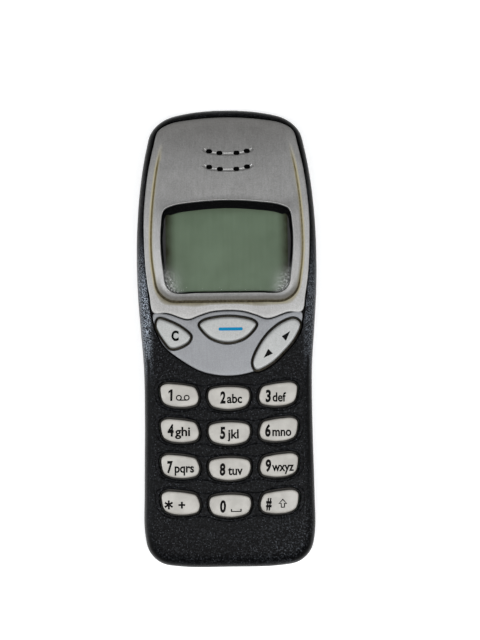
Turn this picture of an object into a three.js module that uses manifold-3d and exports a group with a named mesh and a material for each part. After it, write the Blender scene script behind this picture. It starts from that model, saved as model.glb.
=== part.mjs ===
// A pocket mobile phone of the late 1990s, lying on its back. In mm: +X to its right, +Y to its top end,
// +Z out of its front. The origin is on the flat of the back, under the middle of the phone.
import * as THREE from 'three';
import { ParametricGeometry } from 'three/addons/geometries/ParametricGeometry.js';
import { mergeVertices } from 'three/addons/utils/BufferGeometryUtils.js';
import Module from 'manifold-3d';

const wasm = await Module();
wasm.setup();

// ---- driving dimensions ----
const FRONT_Z = 21.5; // crest of the front face
const PARTING_Z = 11; // seam between the front and back covers
const GAP = 0.3; // clearance between fixed neighbours
const SEAM = 0.15; // half of the seam's clearance
const WALL = 1.6; // side wall of both covers
const ROOF = 1.6; // thickness of the front cover's face
const BACK_WALL = 1.5;
const FASCIA_T = 0.8;
const FASCIA_RAISE = 0.5; // how far the display surround stands above the silver plate
const KEY_GAP = 0.45; // clearance round each key
const KEY_RAISE = 0.8; // crown of a key above the front face
const KEY_TRAVEL = 0.6;
const TRAVEL_SPARE = 0.15;
const BOARD = { bottom: 14.4, top: 15.4 };
const FRAME_TOP = BOARD.bottom - GAP;
const BAY_ROOF = 10.9; // the frame's mid plate, seen from the battery bay
const PLATE_T = 1;
const DOME_TOP = BOARD.top + GAP + 0.5;
const POST_END = DOME_TOP + KEY_TRAVEL + TRAVEL_SPARE;
const BATTERY = { x: 18.4, low: -38, high: 18, bottom: 2.1, top: 8.2 };
const FRAME_INSET = 2.3;
const BOARD_INSET = 4.2;

// Right halves of the outlines, from the top end's centre to the bottom end's.
const BODY_HALF = [
  [0, 62], [10, 61.3], [16.6, 59.5], [20.2, 56.2], [21.7, 51.2], [23.4, 41], [24.4, 28], [24.4, 14],
  [23.7, 3], [22.9, -8], [22.8, -22], [23.1, -42], [23.1, -52.5], [21.9, -57.6], [18.7, -60.7], [13, -61.8],
  [0, -62],
];
// The lower edge of the silver plate.
const WAVE = [[19.9, 6.7], [16.4, 6.6], [10.7, 4.9], [7.6, 5.9], [4.2, 6.9]];
const FASCIA_HALF = [
  [0, 59.4], [9.6, 58.8], [15.3, 57.7], [18.2, 55.8], [19.5, 51.6], [21.1, 44], [22.2, 34], [22.3, 26],
  [21.9, 18], [21, 11.5], ...WAVE, [0, 7.2],
];
const PANEL_DROP = 0.75; // the key panel starts this far below the silver plate's edge
const PANEL_HALF = [
  [0, 7.2 - PANEL_DROP], ...WAVE.toReversed().map(([x, y]) => [x, y - PANEL_DROP]),
  [19.4, 2.4], [17.2, -2.2], [12.4, -6.2], [6.8, -9], [0, -10.1],
];
const SHIELD_HALF = [...FASCIA_HALF.slice(0, 10), ...PANEL_HALF.slice(5)];
const SURROUND_HALF = [
  [0, 57.6], [12, 56.4], [16.6, 53.4], [18.2, 47.8], [19.4, 40.4], [20.2, 32], [20.4, 24], [19.8, 17.4],
  [18.6, 12.4], [15.6, 9.9], [10, 9.6], [0, 9.6],
];
const WINDOW_HALF = [
  [0, 36.8], [8, 36.4], [14.4, 35.5], [16.9, 34.2], [17.7, 30], [17.8, 24], [17.2, 18], [16.4, 13.8],
  [14.3, 12], [8, 11.9], [0, 11.9],
];
const MIDDLE_KEY_HALF = [
  [0, 2.96], [3.8, 2.62], [5.1, 2.1], [5.53, 1.2], [5.52, -0.3], [4.75, -1.9], [3.6, -2.55], [0, -3.1],
];
const NAVI_KEY_HALF = [[0, 5.4], [4.2, 5], [6.6, 4.3], [7.55, 3.4], [6.6, 1.7], [4.2, 0], [0, -0.85]];

// Whole outlines. A side key leans in to the middle column; it is drawn for the right-hand column.
const SIDE_KEY = [
  [4.95, 2.25], [3.7, 3.05], [0.9, 2.97], [-1.9, 2.6], [-4.1, 1.95], [-4.95, 0.3], [-5.12, -1.1],
  [-4.5, -2.45], [-2.1, -3.12], [0.3, -3.18], [2.6, -2.8], [4.35, -1.8], [5.05, 0.7],
];
const CLEAR_KEY = [
  [-18.6, 5], [-15.6, 4.2], [-12, 2.2], [-10.1, 0.2], [-11, -1.5], [-15.2, -2.9], [-17, -1.1], [-19.2, 3.2],
];
const SCROLL_KEY = [
  [18, 4.7], [15, 3.9], [11.2, 1.1], [8.4, -2.6], [6.8, -6.6], [7.6, -8.3], [11.2, -7], [15, -3.9],
  [18.1, -0.1], [19.4, 3.4],
];
const ROW_Y = [-16.3, -25.75, -35.3, -45.1];
const SIDE_X = 13.25;
const SIDE_LIFT = 0.85; // side keys sit this far above the middle one

// ---- materials ----
const paint = (color, roughness, metalness = 0) => (
  new THREE.MeshStandardMaterial({ color, roughness, metalness })
);
const LOOK = {
  charcoal: paint(0x1d1f24, 0.55),
  silver: paint(0xb4b4b6, 0.35, 0.6),
  steelBlue: paint(0x9a9ca6, 0.4, 0.6),
  key: paint(0xc9c5be, 0.45, 0.2),
  clear: paint(0x8fa38c, 0.08),
  rubber: paint(0x141414, 0.8),
  lcd: paint(0x74806c, 0.3),
  board: paint(0x1f5a3a, 0.5),
  steel: paint(0xb9bbbd, 0.3, 1),
  gold: paint(0xd4a94c, 0.3, 1),
  greyPlastic: paint(0x5a5d62, 0.6),
  whitePlastic: paint(0xe6e6e2, 0.5),
  cell: paint(0x30343a, 0.5),
  card: paint(0xe9e4d4, 0.5),
};

// ---- outlines ----
const mirrored = (half) => [...half, ...half.slice(1, -1).reverse().map(([x, y]) => [-x, y])];

// n points on the smooth closed curve through the given points, closest together where those are.
function smooth(points, n) {
  const knots = points.map(([x, y]) => new THREE.Vector3(x, y, 0));
  const curve = new THREE.CatmullRomCurve3(knots, true, 'centripetal');
  return curve.getPoints(n).slice(0, n).map((p) => new THREE.Vector2(p.x, p.y));
}

// The outline moved inwards by d, or outwards where d is negative.
function inset(outline, d) {
  const turn = Math.sign(THREE.ShapeUtils.area(outline));
  return outline.map((p, i) => {
    const ahead = outline[(i + 1) % outline.length];
    const behind = outline[(i + outline.length - 1) % outline.length];
    const along = ahead.clone().sub(behind).normalize();
    return new THREE.Vector2(p.x - turn * along.y * d, p.y + turn * along.x * d);
  });
}

const BODY = smooth(mirrored(BODY_HALF), 56);
const FASCIA = smooth(mirrored(FASCIA_HALF), 44);
const PANEL = smooth(mirrored(PANEL_HALF), 36);
const SHIELD = smooth(mirrored(SHIELD_HALF), 32);
const SURROUND = smooth(mirrored(SURROUND_HALF), 24);
const WINDOW = smooth(mirrored(WINDOW_HALF), 28);
const MIDDLE = smooth(mirrored(MIDDLE_KEY_HALF), 16);
const SIDE = smooth(SIDE_KEY, 20);

// ---- the two outer faces ----
const TOP_FALL = 2;
const BOTTOM_FALL = 0.8;
const CROWN = 0.0025; // fall of the front face per square millimetre off the middle
const front = (x, y) => {
  const top = Math.max(0, (y - 30) / 32);
  const bottom = Math.max(0, (-40 - y) / 22);
  return FRONT_Z - CROWN * x * x - TOP_FALL * top * top - BOTTOM_FALL * bottom * bottom;
};
const BACK_RISE = 4; // the lower end is thinner than the upper by about this much
const back = (y) => BACK_RISE * Math.max(0, (-20 - y) / 42) ** 2;

// ---- solids ----
// A closed mesh geometry as a manifold-3d solid, with its faces out.
function solid(geometry) {
  const bare = geometry.clone();
  bare.deleteAttribute('normal');
  bare.deleteAttribute('uv');
  const merged = mergeVertices(bare, 1e-4);
  const index = merged.index.array;
  const keep = [];
  for (let i = 0; i < index.length; i += 3) {
    const [a, b, c] = [index[i], index[i + 1], index[i + 2]];
    if (a !== b && b !== c && c !== a) keep.push(a, b, c);
  }
  const vertProperties = merged.attributes.position.array;
  const build = (triangles) => new wasm.Manifold(
    new wasm.Mesh({ numProp: 3, vertProperties, triVerts: new Uint32Array(triangles) }),
  );
  const made = build(keep);
  return made.volume() > 0 ? made : build(keep.toReversed());
}

// A closed skin of rings round a centre. Each ring is [inset, scale about the centre, height at (x, y)].
function pillow(outline, middle, rings) {
  const centre = new THREE.Vector2(...middle);
  const lines = rings.map(([d, scale, height]) => inset(outline, d).map((p) => {
    const { x, y } = p.sub(centre).multiplyScalar(scale).add(centre);
    return new THREE.Vector3(x, y, height(x, y));
  }));
  const place = (u, v, target) => {
    const line = lines[Math.round(v * (lines.length - 1))];
    target.copy(line[Math.round(u * outline.length) % outline.length]);
  };
  return solid(new ParametricGeometry(place, outline.length, lines.length - 1));
}

function prism(outline, low, high) {
  const shape = new THREE.Shape(outline);
  const geometry = new THREE.ExtrudeGeometry(shape, { depth: high - low, bevelEnabled: false });
  return solid(geometry.translate(0, 0, low));
}

function box(x0, x1, y0, y1, z0, z1) {
  const geometry = new THREE.BoxGeometry(x1 - x0, y1 - y0, z1 - z0);
  return solid(geometry.translate((x0 + x1) / 2, (y0 + y1) / 2, (z0 + z1) / 2));
}

// A round bar from one end to the other along 'x', 'y' or 'z', centred on at at its low end.
function bar(axis, at, length, radius, sides = 16) {
  const geometry = new THREE.CylinderGeometry(radius, radius, length, sides).translate(0, length / 2, 0);
  if (axis === 'z') geometry.rotateX(Math.PI / 2);
  if (axis === 'x') geometry.rotateZ(-Math.PI / 2);
  return solid(geometry.translate(...at));
}

// A rectangle with round corners, as an outline.
function roundRect(x0, x1, y0, y1, r, steps = 3) {
  const corners = [[x1 - r, y1 - r], [x0 + r, y1 - r], [x0 + r, y0 + r], [x1 - r, y0 + r]];
  return corners.flatMap(([cx, cy], quarter) => Array.from({ length: steps + 1 }, (_, i) => {
    const angle = (quarter + i / steps) * Math.PI / 2;
    return new THREE.Vector2(cx + r * Math.cos(angle), cy + r * Math.sin(angle));
  }));
}

const moved = (outline, x, y) => outline.map((p) => new THREE.Vector2(p.x + x, p.y + y));
const flipped = (outline) => outline.map((p) => new THREE.Vector2(-p.x, p.y)).reverse();
const biggest = (made) => made.decompose().reduce((a, b) => (a.volume() > b.volume() ? a : b));

const phone = new THREE.Group();

function add(name, made, look, at = [0, 0, 0]) {
  const { numProp, vertProperties, triVerts } = made.getMesh();
  const points = new Float32Array((vertProperties.length / numProp) * 3);
  for (let i = 0; i * numProp < vertProperties.length; i++) {
    points.set(vertProperties.subarray(i * numProp, i * numProp + 3), i * 3);
  }
  const geometry = new THREE.BufferGeometry();
  geometry.setAttribute('position', new THREE.BufferAttribute(points, 3));
  geometry.setIndex(new THREE.BufferAttribute(triVerts, 1));
  geometry.computeVertexNormals();
  const mesh = new THREE.Mesh(geometry, LOOK[look]);
  mesh.name = name;
  mesh.position.set(...at);
  phone.add(mesh);
}

// ---- keys ----
// Every key, with its outline in the phone's frame and the height of the face that it comes through.
const NAMES = [['key_1', 'key_2', 'key_3'], ['key_4', 'key_5', 'key_6'], ['key_7', 'key_8', 'key_9'],
  ['key_star', 'key_0', 'key_hash']];
const KEYS = NAMES.flatMap((row, r) => row.map((name, column) => {
  const shape = [flipped(SIDE), MIDDLE, SIDE][column];
  const x = (column - 1) * SIDE_X;
  const y = ROW_Y[r] + (column === 1 ? 0 : SIDE_LIFT);
  return { name, x, y, outline: moved(shape, x, y), posts: [[x, y]] };
}));
const [CLEAR, SCROLL, ROCKER_POST] = [[-15, 1], [13.2, -2], 3.2];
KEYS.push(
  { name: 'navi_key', x: 0, y: 2.4, outline: smooth(mirrored(NAVI_KEY_HALF), 20), posts: [[0, 2.4]] },
  { name: 'clear_key', x: CLEAR[0], y: CLEAR[1], outline: smooth(CLEAR_KEY, 18), posts: [CLEAR] },
  {
    name: 'scroll_key', x: SCROLL[0], y: SCROLL[1], outline: smooth(SCROLL_KEY, 22),
    posts: [-ROCKER_POST, ROCKER_POST].map((d) => [SCROLL[0] + d, SCROLL[1] + d]),
  },
);
const POSTS = KEYS.flatMap(({ posts }) => posts);

// A height that follows the front face, so far below it.
const at = (drop) => (x, y) => front(x, y) - drop;
const FLANGE = { drop: ROOF + 0.4, thickness: 0.5, rim: 0.6 };

// A key cap with its retaining flange under the cover's face and the post, or posts, that press the domes.
function keyCap({ x, y, outline, posts }) {
  const top = FLANGE.drop + (posts.length > 1 ? 0.4 : 0); // a rocker needs more room under the face
  const bottom = top + FLANGE.thickness;
  const cap = pillow(outline, [x, y], [
    [-FLANGE.rim, 0, at(bottom)], [-FLANGE.rim, 1, at(bottom)], [-FLANGE.rim, 1, at(top)], [0, 1, at(top)],
    [0, 1, at(0.4 - KEY_RAISE)], [0.6, 1, at(0.05 - KEY_RAISE)], [0.6, 0, at(-KEY_RAISE)],
  ]);
  const legs = posts.map(([px, py]) => {
    const length = front(px, py) - top - 0.2 - POST_END;
    return bar('z', [px, py, POST_END], length, 1.3, 8);
  });
  return legs.reduce((sum, leg) => sum.add(leg), cap).translate([-x, -y, 0]);
}
for (const key of KEYS) add(key.name, keyCap(key), 'key', [key.x, key.y, 0]);

// ---- front cover, with its trim and window ----
const seamZ = () => PARTING_Z + SEAM;
const coverSkin = pillow(BODY, [0, 0], [
  [0, 0, seamZ], [0, 1, seamZ], [0.15, 1, at(5)], [0.6, 1, at(1.8)], [1.4, 1, at(0.6)], [2.6, 1, at(0.06)],
  [2.6, 0.75, at(0)], [2.6, 0.35, at(0)], [2.6, 0, at(0)],
]);
const coverHollow = pillow(BODY, [0, 0], [
  [WALL, 0, () => PARTING_Z - 1], [WALL, 1, () => PARTING_Z - 1], [WALL + 0.1, 1, at(4.4)],
  [WALL + 1, 1, at(ROOF + 0.6)], [WALL + 2, 1, at(ROOF)], [WALL + 2, 0.75, at(ROOF)],
  [WALL + 2, 0.35, at(ROOF)], [WALL + 2, 0, at(ROOF)],
]);
const underRecess = pillow(BODY, [0, 0], [
  [0, 0, () => 0], [0, 1, () => 0], [0, 1, at(FASCIA_T + GAP)], [0, 0.75, at(FASCIA_T + GAP)],
  [0, 0.35, at(FASCIA_T + GAP)], [0, 0, at(FASCIA_T + GAP)],
]);
// A cutter straight down through the cover's face.
const drill = (outline) => prism(outline, PARTING_Z + 4, FRONT_Z + 3);
const recess = drill(inset(SHIELD, -0.4)).subtract(underRecess);
const LENS_RIM = 1; // how far the window runs under the silver plate
const POWER = { x: 4.5, low: 11.3, high: 14.9, face: 62 };
const SOCKET = { x: 13, low: 7.9, high: 14 };
const HOLE_HALF = [[2.3, 50.4], [5.1, 50.9], [2.2, 46], [5.1, 46.6]]; // the right-hand sound holes
const HOLE = { x: 0.8, y: 0.35, corner: 0.34 };
const soundHole = ([x, y]) => drill(
  roundRect(x - HOLE.x, x + HOLE.x, y - HOLE.y, y + HOLE.y, HOLE.corner, 2),
);
const soundHoles = HOLE_HALF.flatMap(([x, y]) => [soundHole([x, y]), soundHole([-x, y])]);
const throughKeys = KEYS.map(({ outline }) => drill(inset(outline, -KEY_GAP)));
const cut = (made, cutters) => cutters.reduce((rest, cutter) => rest.subtract(cutter), made);

add('front_cover', biggest(cut(coverSkin, [
  coverHollow, recess, drill(inset(WINDOW, -LENS_RIM - GAP)), ...throughKeys, ...soundHoles,
  box(-POWER.x - 0.4, POWER.x + 0.4, 57, 64, PARTING_Z - 1, POWER.high + 0.4),
  box(-SOCKET.x - GAP, SOCKET.x + GAP, -64, -58, PARTING_Z - 1, SOCKET.high + GAP),
])), 'charcoal');

const plate = (outline, centreY) => pillow(outline, [0, centreY], [
  [0, 0, at(FASCIA_T)], [0, 0.5, at(FASCIA_T)], [0, 1, at(FASCIA_T)], [0, 1, at(0.25)], [0.4, 1, at(0)],
  [0.4, 0.5, at(0)], [0.4, 0, at(0)],
]);
const raised = pillow(SURROUND, [0, 26], [
  [0, 0, at(0.4)], [0, 0.5, at(0.4)], [0, 1, at(0.4)], [0, 1, at(0.1)], [0.8, 1, at(-FASCIA_RAISE)],
  [0.8, 0.5, at(-FASCIA_RAISE)], [0.8, 0, at(-FASCIA_RAISE)],
]);
add('silver_fascia', biggest(cut(plate(FASCIA, 30).add(raised), [drill(WINDOW), ...soundHoles])), 'silver');
add('function_key_panel', biggest(cut(plate(PANEL, -1), throughKeys)), 'steelBlue');
add('display_window', pillow(inset(WINDOW, -LENS_RIM), [0, 24.5], [
  [0, 0, at(2.2)], [0, 0.5, at(2.2)], [0, 1, at(2.2)],
  [0, 1, at(FASCIA_T + GAP)], [0, 0.5, at(FASCIA_T + GAP)], [0, 0, at(FASCIA_T + GAP)],
]), 'clear');

const MAT = { bottom: DOME_TOP + GAP, top: DOME_TOP + GAP + 0.6 };
const matOutline = smooth(mirrored([
  [0, 8.2], [16, 8], [19.2, 4], [18.6, -10], [18.2, -42], [16, -48.6], [0, -49.4],
]), 24);
const SCREWS = [[-17.2, 43], [17.2, 43], [-16.6, -48.6], [16.6, -48.6]];
add('rubber_keymat', biggest(cut(prism(matOutline, MAT.bottom, MAT.top), [
  ...POSTS.map(([x, y]) => bar('z', [x, y, MAT.bottom - 1], 3, 1.8, 8)),
  ...SCREWS.map(([x, y]) => bar('z', [x, y, MAT.bottom - 1], 3, 2.2, 8)),
])), 'rubber');

// ---- electronics behind the front cover ----
const FIXING = { shank: 0.8, hole: 1.1, boss: 2.2, head: 1.7 };
const boardOutline = smooth(mirrored([
  [0, 57.4], [10, 56.8], [16, 53.5], [19.2, 44], [20, 26], [19.4, 6], [19, -10], [19.4, -48], [16.5, -53.8],
  [0, -54.6],
]), 28);
const screwHoles = SCREWS.map(([x, y]) => bar('z', [x, y, 0], FRONT_Z, FIXING.hole, 12));
add('main_board', cut(prism(boardOutline, BOARD.bottom, BOARD.top), screwHoles), 'board');
const FOIL = { bottom: BOARD.top + GAP, top: BOARD.top + GAP + 0.2 };
const foil = prism(roundRect(-17.6, 17.6, -47.6, 7.6, 2, 2), FOIL.bottom, FOIL.top);
const dome = ([x, y]) => solid(new THREE.CylinderGeometry(1.4, 2.4, DOME_TOP - FOIL.bottom, 8)
  .rotateX(Math.PI / 2).translate(x, y, (DOME_TOP + FOIL.bottom) / 2));
add('dome_switch_foil', cut(POSTS.reduce((sum, post) => sum.add(dome(post)), foil),
  SCREWS.map(([x, y]) => bar('z', [x, y, 0], FRONT_Z, 2.3, 8))), 'steel');

const LCD = { x: 17.3, low: 10.6, high: 38 };
add('lcd_frame', box(-LCD.x, LCD.x, LCD.low, LCD.high, BOARD.top + GAP, 18.1)
  .subtract(box(-16, 16, LCD.low + 1.3, LCD.high - 1.3, BOARD.top, 19)), 'steel');
const panelBox = (low, high) => box(-15.7, 15.7, LCD.low + 1.6, LCD.high - 1.6, low, high);
add('lcd_light_guide', panelBox(BOARD.top + GAP, 16.8), 'whitePlastic');
add('lcd_glass', panelBox(17.1, 18.2), 'lcd');
add('earpiece', bar('z', [0, 48.4, BOARD.top + GAP], 2.3, 6.2, 24), 'steel');
add('rf_shield_upper', box(-16, 16, -4, 22, 12.2, FRAME_TOP), 'steel');
add('rf_shield_lower', box(-14, 14, -38, -7, 12.2, FRAME_TOP), 'steel');
add('buzzer', bar('z', [9, 32, 12.2], FRAME_TOP - 12.2, 4.6, 20), 'rubber');
add('power_switch', box(-3, 3, 54.6, 57.4, 12.3, FRAME_TOP), 'steel');

// ---- frame that everything is fixed to ----
const BAY = { x: BATTERY.x + 0.5, low: BATTERY.low - 0.5, high: BATTERY.high + 3.2 };
const SIM = { x: 13.5, low: -20, high: -0.5 };
const MOTOR = { x0: 5, x1: 15.5, y: -49.2, z: 8.9, r: 3 };
// The room inside the back cover, less a clearance all round, up to a given height.
const lift = (z) => (x, y) => z + back(y);
const backRoom = (spare, top) => pillow(BODY, [0, 0], [
  [WALL + spare, 0, () => top], [WALL + spare, 1, () => top],
  [WALL + spare + 0.3, 1, (x, y) => 8.6 + 0.3 * back(y)],
  [WALL + spare + 1.2, 1, lift(4.9)], [WALL + spare + 2.8, 1, lift(3)],
  [WALL + spare + 5, 1, lift(BACK_WALL + 0.3 + spare)], [WALL + spare + 8, 1, lift(BACK_WALL + spare)],
  [WALL + spare + 8, 0.5, lift(BACK_WALL + spare)], [WALL + spare + 8, 0, lift(BACK_WALL + spare)],
]);
const innerRoom = backRoom(GAP, FRAME_TOP);
const frameFoot = 5.6;
const frameBlock = prism(inset(BODY, FRAME_INSET), frameFoot, FRAME_TOP).intersect(innerRoom);
const upperRoom = prism(inset(BODY, FRAME_INSET + 1.2), BAY_ROOF + PLATE_T, FRAME_TOP + 1);
const bosses = SCREWS.map(([x, y]) => bar('z', [x, y, BAY_ROOF], FRAME_TOP - BAY_ROOF, FIXING.boss, 14));
const frameShell = bosses.reduce((sum, boss) => sum.add(boss), frameBlock.subtract(upperRoom));
add('chassis_frame', biggest(cut(frameShell, [
  ...SCREWS.map(([x, y]) => bar('z', [x, y, 9], 8, FIXING.hole, 12)),
  box(-BAY.x, BAY.x, BAY.low, BAY.high, 0, BAY_ROOF),
  box(-18.2, 18.2, 21.8, 56.5, 0, BAY_ROOF),
  box(-SIM.x - 0.8, SIM.x + 0.8, SIM.low - 0.8, SIM.high + 0.8, 9, BAY_ROOF + 3),
  box(MOTOR.x0 - 4.6, MOTOR.x1 + 0.5, MOTOR.y - 3.5, MOTOR.y + 3.5, 0, MOTOR.z + MOTOR.r + 0.5),
  box(-SOCKET.x - GAP, SOCKET.x + GAP, -64, -54.6, 0, FRAME_TOP + 1),
  box(-POWER.x - 1.6, POWER.x + 1.6, 57.6, 64, PARTING_Z, FRAME_TOP + 1),
  box(-9.6, 9.6, -55, -43.2, 0, 8),
])), 'greyPlastic');
SCREWS.forEach(([x, y], i) => {
  const head = bar('z', [x, y, BOARD.top + GAP], 1, FIXING.head, 14);
  const shank = bar('z', [x, y, 11], BOARD.top + GAP + 0.5 - 11, FIXING.shank, 10);
  add(`screw_${i + 1}`, head.add(shank), 'steel');
});

// ---- antenna under the upper end of the back cover ----
const carrier = prism(roundRect(-17, 17, 23, 54.5, 4), 2.6, BAY_ROOF - GAP);
add('antenna_carrier', carrier.intersect(innerRoom), 'whitePlastic');
const radiator = prism(roundRect(-14, 14, 25, 50.6, 4), 2, 2.3);
add('antenna_plate', radiator.subtract(box(-9, 16, 38.4, 40, 0, 4)), 'gold');

// ---- battery, its springs and the card reader behind it ----
const batteryOutline = roundRect(-BATTERY.x, BATTERY.x, BATTERY.low, BATTERY.high, 2);
add('battery', prism(batteryOutline, BATTERY.bottom, BATTERY.top).intersect(innerRoom), 'cell');
[-12, -4, 4, 12].forEach((x, i) => {
  const foot = box(x - 1, x + 1, BATTERY.high + GAP + 1.3, BATTERY.high + GAP + 2.1, 4, BAY_ROOF - GAP);
  const nose = bar('x', [x - 1, BATTERY.high + GAP + 1.1, 5.6], 2, 1, 12);
  add(`battery_contact_${i + 1}`, foot.add(nose), 'gold');
});
add('sim_reader', box(-SIM.x, SIM.x, SIM.low, SIM.high, 10.1, 11.9), 'whitePlastic');
const SIM_PIN = { y: SIM.low - 2.6, z: 9.5, r: 0.6 };
const lid = box(-13, 13, SIM.low - 1.4, SIM.high, 8.5, 8.8)
  .add(box(-13, -12.7, SIM.low - 1.4, SIM.high, 8.5, 9.8))
  .add(box(12.7, 13, SIM.low - 1.4, SIM.high, 8.5, 9.8))
  .add(box(-13, 13, SIM_PIN.y, SIM.low - 1.2, 8.5, 8.8))
  .add(bar('x', [-14, SIM_PIN.y, 9.1], 28, SIM_PIN.r, 12));
add('sim_card_holder', lid.subtract(box(-5.5, 5.5, SIM.low + 4, SIM.high - 4, 8, 9)), 'steel');
add('sim_card', prism(roundRect(-12.3, 12.3, SIM.low + 1, SIM.low + 16, 1), 9.1, 9.8), 'card');

// ---- lower end: sockets, microphone and vibration motor ----
const JACK = { x: 0, z: 11, r: 2.4, length: 7 };
const block = box(-SOCKET.x, SOCKET.x, -61.6, -55, SOCKET.low, SOCKET.high);
const SLOTS = [[-11, -5.5], [5.5, 11]];
add('system_connector', cut(block, [
  bar('y', [JACK.x, -63, JACK.z], JACK.length, JACK.r + GAP, 20),
  ...SLOTS.map(([x0, x1]) => box(x0, x1, -63, -58.6, 9.8, 12.2)),
]), 'rubber');
add('charger_jack', bar('y', [JACK.x, -61.3, JACK.z], 5, JACK.r, 20)
  .subtract(bar('y', [JACK.x, -62, JACK.z], 4.8, JACK.r - 0.6, 20))
  .add(bar('y', [JACK.x, -60.6, JACK.z], 4, 0.5, 10)), 'steel');
SLOTS.forEach(([x0, x1], i) => {
  add(`connector_contacts_${i + 1}`, box(x0 + 0.5, x1 - 0.5, -60.6, -58.9, 10.2, 10.8), 'gold');
});
add('microphone', bar('z', [-16.4, -54.2, 12.3], FRAME_TOP - 12.3, 1.9, 16), 'rubber');
add('vibration_motor', bar('x', [MOTOR.x0, MOTOR.y, MOTOR.z], MOTOR.x1 - MOTOR.x0, MOTOR.r, 20), 'steel');
const weight = bar('x', [MOTOR.x0 - 3.8, MOTOR.y, MOTOR.z], 3.2, 2.7, 20)
  .subtract(box(MOTOR.x0 - 5, MOTOR.x0, MOTOR.y - 4, MOTOR.y + 4, MOTOR.z + 0.6, MOTOR.z + 4));
add('vibration_weight', weight, 'steel');

// ---- power button ----
add('power_button', prism(roundRect(-POWER.x, POWER.x, POWER.low, POWER.high, 1.5), 0, 2.6)
  .add(box(-POWER.x - 1, POWER.x + 1, POWER.low, POWER.high, 2.6 - 0.1, 3.4))
  .rotate([90, 0, 0]).translate([0, POWER.face, 0]), 'rubber');

// ---- back cover and its catch ----
const backSkin = pillow(BODY, [0, 0], [
  [0, 0, () => PARTING_Z - SEAM], [0, 1, () => PARTING_Z - SEAM], [0.3, 1, () => 8.4], [1.3, 1, lift(4)],
  [2.9, 1, lift(1.8)], [5.4, 1, lift(0.5)], [9, 1, lift(0)], [9, 0.5, lift(0)], [9, 0, lift(0)],
]);
const CATCH = { x: 7.5, y: -49, half: 4 };
const catchOutline = roundRect(-CATCH.x, CATCH.x, CATCH.y - CATCH.half, CATCH.y + CATCH.half, 3.9, 4);
add('back_cover', biggest(cut(backSkin, [
  backRoom(0, PARTING_Z + 1), prism(inset(catchOutline, -0.35), -1, 9),
  box(-SOCKET.x - GAP, SOCKET.x + GAP, -64, -58, SOCKET.low - GAP, PARTING_Z + 1),
])), 'charcoal');
add('release_button', pillow(catchOutline, [0, CATCH.y], [
  [0.5, 0, lift(-0.2)], [0.5, 1, lift(-0.2)], [0, 1, lift(0.3)], [0, 1, lift(BACK_WALL + 0.5)],
  [-0.9, 1, lift(BACK_WALL + 0.5)], [-0.9, 1, lift(BACK_WALL + 1)], [0, 0, lift(BACK_WALL + 1)],
]), 'charcoal');
add('release_spring', box(-8.5, -0.5, CATCH.y - 1.5, CATCH.y + 1.5, 5.9, 6.2)
  .add(box(-8.5, -7, CATCH.y - 1.5, CATCH.y + 1.5, 6, 7.7)), 'steel');

export default phone;
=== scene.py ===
"""The looks of a pocket mobile phone of the late 1990s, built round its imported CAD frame.

Shapes are drawn in millimetres in the frame's own axes and become metres when a piece is finished: +X is the
phone's right, +Y its earpiece end and +Z the way out of its display. The phone lies on its back.
"""

import logging
import math
from dataclasses import dataclass, field
from enum import Enum
from typing import Callable, Iterable, Sequence

import bmesh
import bpy
from mathutils import Matrix, Vector, kdtree


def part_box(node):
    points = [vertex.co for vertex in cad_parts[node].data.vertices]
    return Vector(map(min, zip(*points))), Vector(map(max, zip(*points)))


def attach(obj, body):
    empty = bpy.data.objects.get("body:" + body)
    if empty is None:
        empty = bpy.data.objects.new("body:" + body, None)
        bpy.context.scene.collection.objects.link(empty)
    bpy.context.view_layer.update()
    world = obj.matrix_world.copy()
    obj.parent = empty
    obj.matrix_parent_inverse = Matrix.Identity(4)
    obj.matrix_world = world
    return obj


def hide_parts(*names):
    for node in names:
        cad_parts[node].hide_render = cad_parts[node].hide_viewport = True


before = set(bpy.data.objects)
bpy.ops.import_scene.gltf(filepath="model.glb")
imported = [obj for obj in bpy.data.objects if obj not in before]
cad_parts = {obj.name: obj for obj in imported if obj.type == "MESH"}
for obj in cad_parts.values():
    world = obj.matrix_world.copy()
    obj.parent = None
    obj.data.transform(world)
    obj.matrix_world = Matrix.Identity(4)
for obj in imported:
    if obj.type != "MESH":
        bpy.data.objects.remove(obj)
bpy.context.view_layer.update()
LOG = logging.getLogger("phone")
MM = 0.001  # metres in a millimetre

Height = Callable[[float, float], float]
Colour = tuple[float, float, float]


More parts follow.
